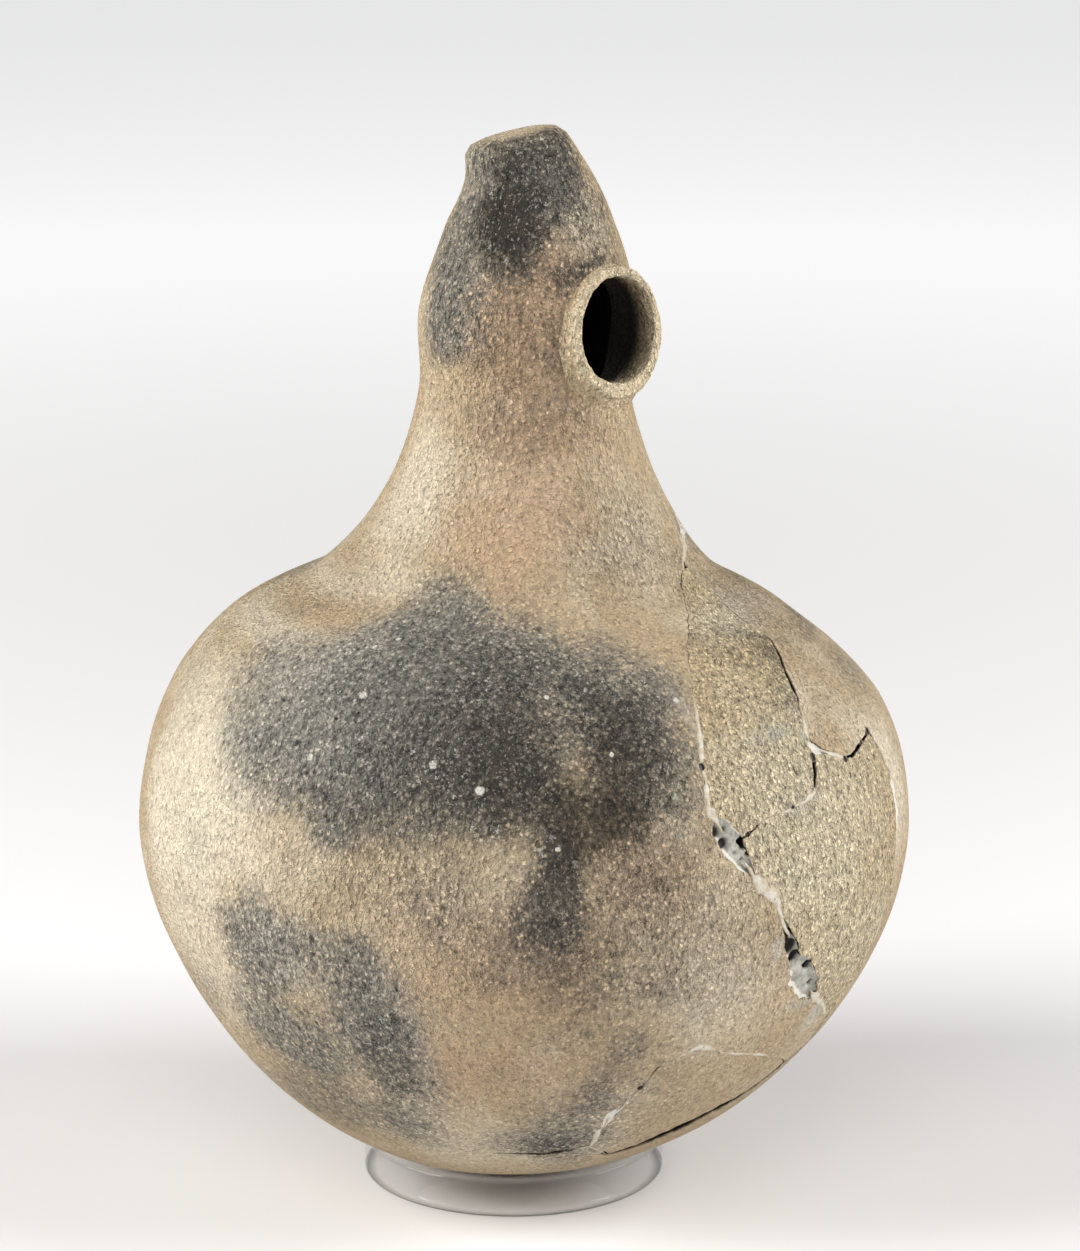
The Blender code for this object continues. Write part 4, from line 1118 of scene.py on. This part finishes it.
def bead(line, seed):
    """A lens-shaped bead along a break: a low arch across the adhesive's width, which noise varies,
    over a root in the joint; it closes to nothing where there is no adhesive. Also how thick
    and how hollow it is at each point: it is dished where the joint has a round hole."""
    holed = line.hole > 0
    ragged = 1 + layered_noise(
        line.point, (RAGGED_SHARE, RAGGED_CELL, seed), (FRAY_SHARE, FRAY_CELL, seed + 1))
    width = np.maximum(line.glue * ragged - BEAD_LOSS, np.where(holed, line.hole + HOLE_RIM, 0))
    width[[0, -1]] = 0
    drift = BEAD_DRIFT * line.glue * lattice_noise(line.point, DRIFT_CELL, seed + 2)
    share = np.clip(width / BEAD_FULL, 0, 1)[:, None]
    arch = np.append(np.sin(BEAD_SHAPE), -BEAD_ROOT / BEAD_HEIGHT) - BEAD_SINK
    across = np.append(-np.cos(BEAD_SHAPE), 0.0)
    aside = np.where(holed, 0, drift)[:, None] + width[:, None] / 2 * across
    hollow = np.clip((line.hole[:, None] / 2 - np.abs(aside)) / HOLE_EDGE + 0.5, 0, 1) * holed[:, None]
    level = BEAD_HEIGHT * share * arch + hand_marks(line.point)[:, None] - HOLE_DEPTH * hollow
    rings = (line.point[:, None] + line.side[:, None] * aside[..., None]
             + line.normal[:, None] * level[..., None])
    return rings, width > 0, share * np.append(np.sin(BEAD_SHAPE), 1.0), hollow


def bead_faces(rings, held):
    """Faces of a bead's rings, turned outwards, only where a face has adhesive at one end at least."""
    faces = np.roll(tube_faces(*rings.shape[:2])[..., ::-1], 1, axis=-1)
    return faces[held[:-1] | held[1:]].reshape(-1, 4)


ADHESIVE_WHITE = (0.560, 0.540, 0.465, 1.0)
ADHESIVE_TAN = (0.430, 0.355, 0.245, 1.0)
ADHESIVE_RELIEF, ADHESIVE_BUMP = 0.0002, 0.7
WHITE_MOTTLE = 3.2
dried_glue, tree, shader = new_material("dried_adhesive")
where = object_place(tree)
mottle = noise(tree, where, scale=700.0, detail=4.0, roughness=0.7)
# Pores and the holes at the joints are painted near black: painted shade.
pores = add_node(tree, "TexVoronoi", {"Vector": where, "Scale": 480.0})
painted_pore_shade = ease(tree, pores.outputs["Distance"], 0.08, 0.16, 1.0, 0.0)
painted_pore_shade = times(tree, painted_pore_shade, ease(tree, mottle, 0.45, 0.6))
whitened = math(tree, "MULTIPLY_ADD", centred(tree, mottle), WHITE_MOTTLE, mark(tree, "thick"))
colour = blend(tree, ease(tree, whitened, 0.4, 1.3), ADHESIVE_TAN, ADHESIVE_WHITE)
colour = blend(tree, most(tree, painted_pore_shade, ease(tree, mark(tree, "hollow"), 0.2, 0.7)), colour, HOLE_PAINTED_SHADE)
bump = add_node(tree, "Bump", {
    "Strength": ADHESIVE_BUMP, "Distance": ADHESIVE_RELIEF, "Height": mottle})
set_inputs(tree, shader, {
    "Base Color": colour, "Roughness": ease(tree, mottle, 0.3, 0.7, 0.6, 0.35),
    "Normal": bump.outputs[0]})

bead_points, bead_thick, bead_hollow, bead_quads, start = [], [], [], [], 0
for seed, line in zip(BEAD_SEEDS, all_breaks):
    rings, held, thick, hollow = bead(line, seed)
    bead_points.append(rings.reshape(-1, 3))
    bead_thick.append(thick.ravel())
    bead_hollow.append(hollow.ravel())
    bead_quads.append(bead_faces(rings, held) + start)
    start += rings.shape[0] * rings.shape[1]
used, bead_quads = np.unique(np.concatenate(bead_quads), return_inverse=True)
bead_marks = {"thick": np.concatenate(bead_thick)[used], "hollow": np.concatenate(bead_hollow)[used]}
set_piece("adhesive_beads", np.concatenate(bead_points)[used], bead_quads.reshape(-1, 4).tolist(),
          bead_marks, dried_glue, "jar", "grey_fill")


# The display ring: a slice of clear acrylic tube with polished, lightly chamfered edges, which the
# round bottom sits down into.

ring_low, ring_high = (np.array(corner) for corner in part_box("display_ring"))
RING_WALL = 0.0032
RING_CHAMFER = 0.0004
RING_LIFT = 0.00008
RING_MARK = 0.0008
# Rows of the profile at the outer corners of the brim and of the foot.
RING_BRIM_ROWS = (3, 4)
RING_FOOT_ROWS = (7, 8)
RING_SEGMENTS = 192


def ring_skin():
    """A closed profile, a rectangle with cut corners, turned about the ring's upright axis. Two more
    rows on the outside keep the marks of the foot and the brim, a painted dark line and a painted
    highlight, close to those edges."""
    outer = (ring_high[0] - ring_low[0]) / 2
    inner, low, high = outer - RING_WALL, ring_low[2] + RING_LIFT, ring_high[2]
    radius = np.array([inner, inner, inner + RING_CHAMFER, outer - RING_CHAMFER, outer,
                       outer, outer, outer, outer - RING_CHAMFER, inner + RING_CHAMFER])
    height = np.array([low + RING_CHAMFER, high - RING_CHAMFER, high, high, high - RING_CHAMFER,
                       high - RING_MARK, low + RING_MARK, low + RING_CHAMFER, low, low])
    angle = np.linspace(0, 2 * np.pi, RING_SEGMENTS, endpoint=False)[:, None]
    middle = (ring_low + ring_high) / 2
    return np.stack([middle[0] + radius * np.cos(angle), middle[1] + radius * np.sin(angle),
                     height + 0 * angle], -1)


ACRYLIC_CLEAR = (0.930, 0.955, 0.950, 1.0)
ACRYLIC_FOOT_SHADE = (0.300, 0.320, 0.300, 1.0)
ACRYLIC_BRIM_HIGHLIGHT = (0.900, 0.920, 0.910, 1.0)
ACRYLIC_IOR = 1.49
ACRYLIC_CLARITY = 0.9
SEEN_ACROSS, SEEN_ALONG = 0.10, 0.32  # how much shows where one looks through it, and along it
SEEN_FOOT_SHADE = 0.6
SEEN_BRIM_HIGHLIGHT = 0.7
acrylic, tree, shader = new_material("clear_acrylic")
# The foot is painted with a dark line, painted shade, and the brim with a white line, a painted
# highlight.
foot, brim = mark(tree, "foot"), mark(tree, "brim")
colour = blend(tree, foot, ACRYLIC_CLEAR, ACRYLIC_FOOT_SHADE)
colour = blend(tree, brim, colour, ACRYLIC_BRIM_HIGHLIGHT)
side_on = add_node(tree, "LayerWeight", {"Blend": 0.3}).outputs["Facing"]
shown = ease(tree, side_on, 0.6, 1.0, SEEN_ACROSS, SEEN_ALONG)
shown = most(tree, shown, times(tree, foot, SEEN_FOOT_SHADE))
shown = most(tree, shown, times(tree, brim, SEEN_BRIM_HIGHLIGHT))
rubbed = noise(tree, object_place(tree), scale=160.0, detail=4.0)
set_inputs(tree, shader, {
    "Base Color": colour, "Roughness": ease(tree, rubbed, 0.4, 0.75, 0.01, 0.05), "Alpha": shown,
    "IOR": ACRYLIC_IOR, "Transmission Weight": ACRYLIC_CLARITY})
ring = ring_skin()
ring_row = np.broadcast_to(np.arange(ring.shape[1]), ring.shape[:2])
ring_marks = {"foot": np.isin(ring_row, RING_FOOT_ROWS), "brim": np.isin(ring_row, RING_BRIM_ROWS)}
set_piece("acrylic_ring", ring.reshape(-1, 3), closed_tube(ring), ring_marks, acrylic, "ring",
          "clear_acrylic", "display_ring")


# The stage: a plain pale floor, wide soft lights from the left, the right and the front, and a long
# lens a little above the jar, looking down at its smoked side. Where the lights fall off, the floor
# glows to the camera, in gloss and through glass, so that the background stays pale.

FLOOR_REACH = 12.0
FLOOR_WHITE = (0.88, 0.88, 0.89, 1.0)
FLOOR_ROUGHNESS = 0.7
FLOOR_GLOW = 0.67
GLOW_STARTS, GLOW_FULL = 0.2, 1.5  # distances from the jar
GLOW_WHITE = (1.0, 1.0, 1.0, 1.0)
floor_mesh = bpy.data.meshes.new("floor")
floor_corners = [
    (x * FLOOR_REACH, y * FLOOR_REACH, 0.0) for x, y in ((-1, -1), (1, -1), (1, 1), (-1, 1))]
floor_mesh.from_pydata(floor_corners, [], [(0, 1, 2, 3)])
floor = bpy.data.objects.new("floor", floor_mesh)
bpy.context.scene.collection.objects.link(floor)
floor_paint, tree, shader = new_material("floor_paint")
rays = add_node(tree, "LightPath").outputs
seen = most(tree, rays["Is Camera Ray"], rays["Is Glossy Ray"])
seen = most(tree, seen, rays["Is Transmission Ray"])
far = add_node(tree, "VectorMath", {0: object_place(tree)}, operation="LENGTH").outputs["Value"]
glow = ease(tree, far, GLOW_STARTS, GLOW_FULL, 0.0, FLOOR_GLOW)
set_inputs(tree, shader, {
    "Base Color": FLOOR_WHITE, "Roughness": FLOOR_ROUGHNESS, "Emission Color": GLOW_WHITE,
    "Emission Strength": times(tree, seen, glow)})
floor_mesh.materials.append(floor_paint)

VIEW_TURN = -53.0  # degrees, from the mouth's side
view_angle = np.radians(VIEW_TURN)
view_right = np.array([np.cos(view_angle), np.sin(view_angle), 0.0])
view_away = np.array([-np.sin(view_angle), np.cos(view_angle), 0.0])
view_up = np.array([0.0, 0.0, 1.0])
LIGHTS_AIM = np.array([0.0, 0.0, 0.11])


def soft_light(name, right, toward, up, size, watts, colour):
    """A square area light placed right of, nearer than and above the jar as the camera sees it, and
    turned to face it."""
    data = bpy.data.lights.new(name, "AREA")
    data.size = size
    data.energy = watts
    data.color = colour
    light = bpy.data.objects.new(name, data)
    place = right * view_right - toward * view_away + up * view_up
    light.location = place
    x, y, z = LIGHTS_AIM - place
    light.rotation_euler = (np.arctan2(np.hypot(x, y), -z), 0.0, np.arctan2(-x, y))
    bpy.context.scene.collection.objects.link(light)


# How far right, nearer and up each light is, its size, its power (W) and its colour.
soft_light("key", -1.05, 0.30, 0.75, 0.7, 19.5, (1.0, 0.98, 0.95))
soft_light("fill", 1.05, 0.18, 0.72, 0.7, 16.5, (1.0, 0.98, 0.96))
soft_light("front", -0.15, 1.10, 0.95, 0.8, 5.0, (1.0, 0.99, 0.97))
ROOM_COLOUR = (0.80, 0.82, 0.85, 1.0)
ROOM_LIGHT = 0.12
world = bpy.data.worlds.new("studio")
bpy.context.scene.world = world
world.use_nodes = True
room = world.node_tree.nodes["Background"]
set_inputs(world.node_tree, room, {"Color": ROOM_COLOUR, "Strength": ROOM_LIGHT})

CAMERA_RIGHT = 0.00331
CAMERA_BACK = 0.850
CAMERA_HEIGHT = 0.3201
CAMERA_PITCH = np.radians(13.36)
# The photo's height and the length of its lens, both in pixels.
IMAGE_HEIGHT = 1251
FOCAL_PIXELS = 4210.0
camera_data = bpy.data.cameras.new("camera")
camera_data.sensor_fit = "VERTICAL"
camera_data.lens = camera_data.sensor_height * FOCAL_PIXELS / IMAGE_HEIGHT
camera = bpy.data.objects.new("camera", camera_data)
camera.location = CAMERA_RIGHT * view_right - CAMERA_BACK * view_away + CAMERA_HEIGHT * view_up
camera.rotation_euler = (np.pi / 2 - CAMERA_PITCH, 0.0, view_angle)
bpy.context.scene.collection.objects.link(camera)
bpy.context.scene.camera = camera
bpy.context.scene.view_settings.view_transform = "Standard"
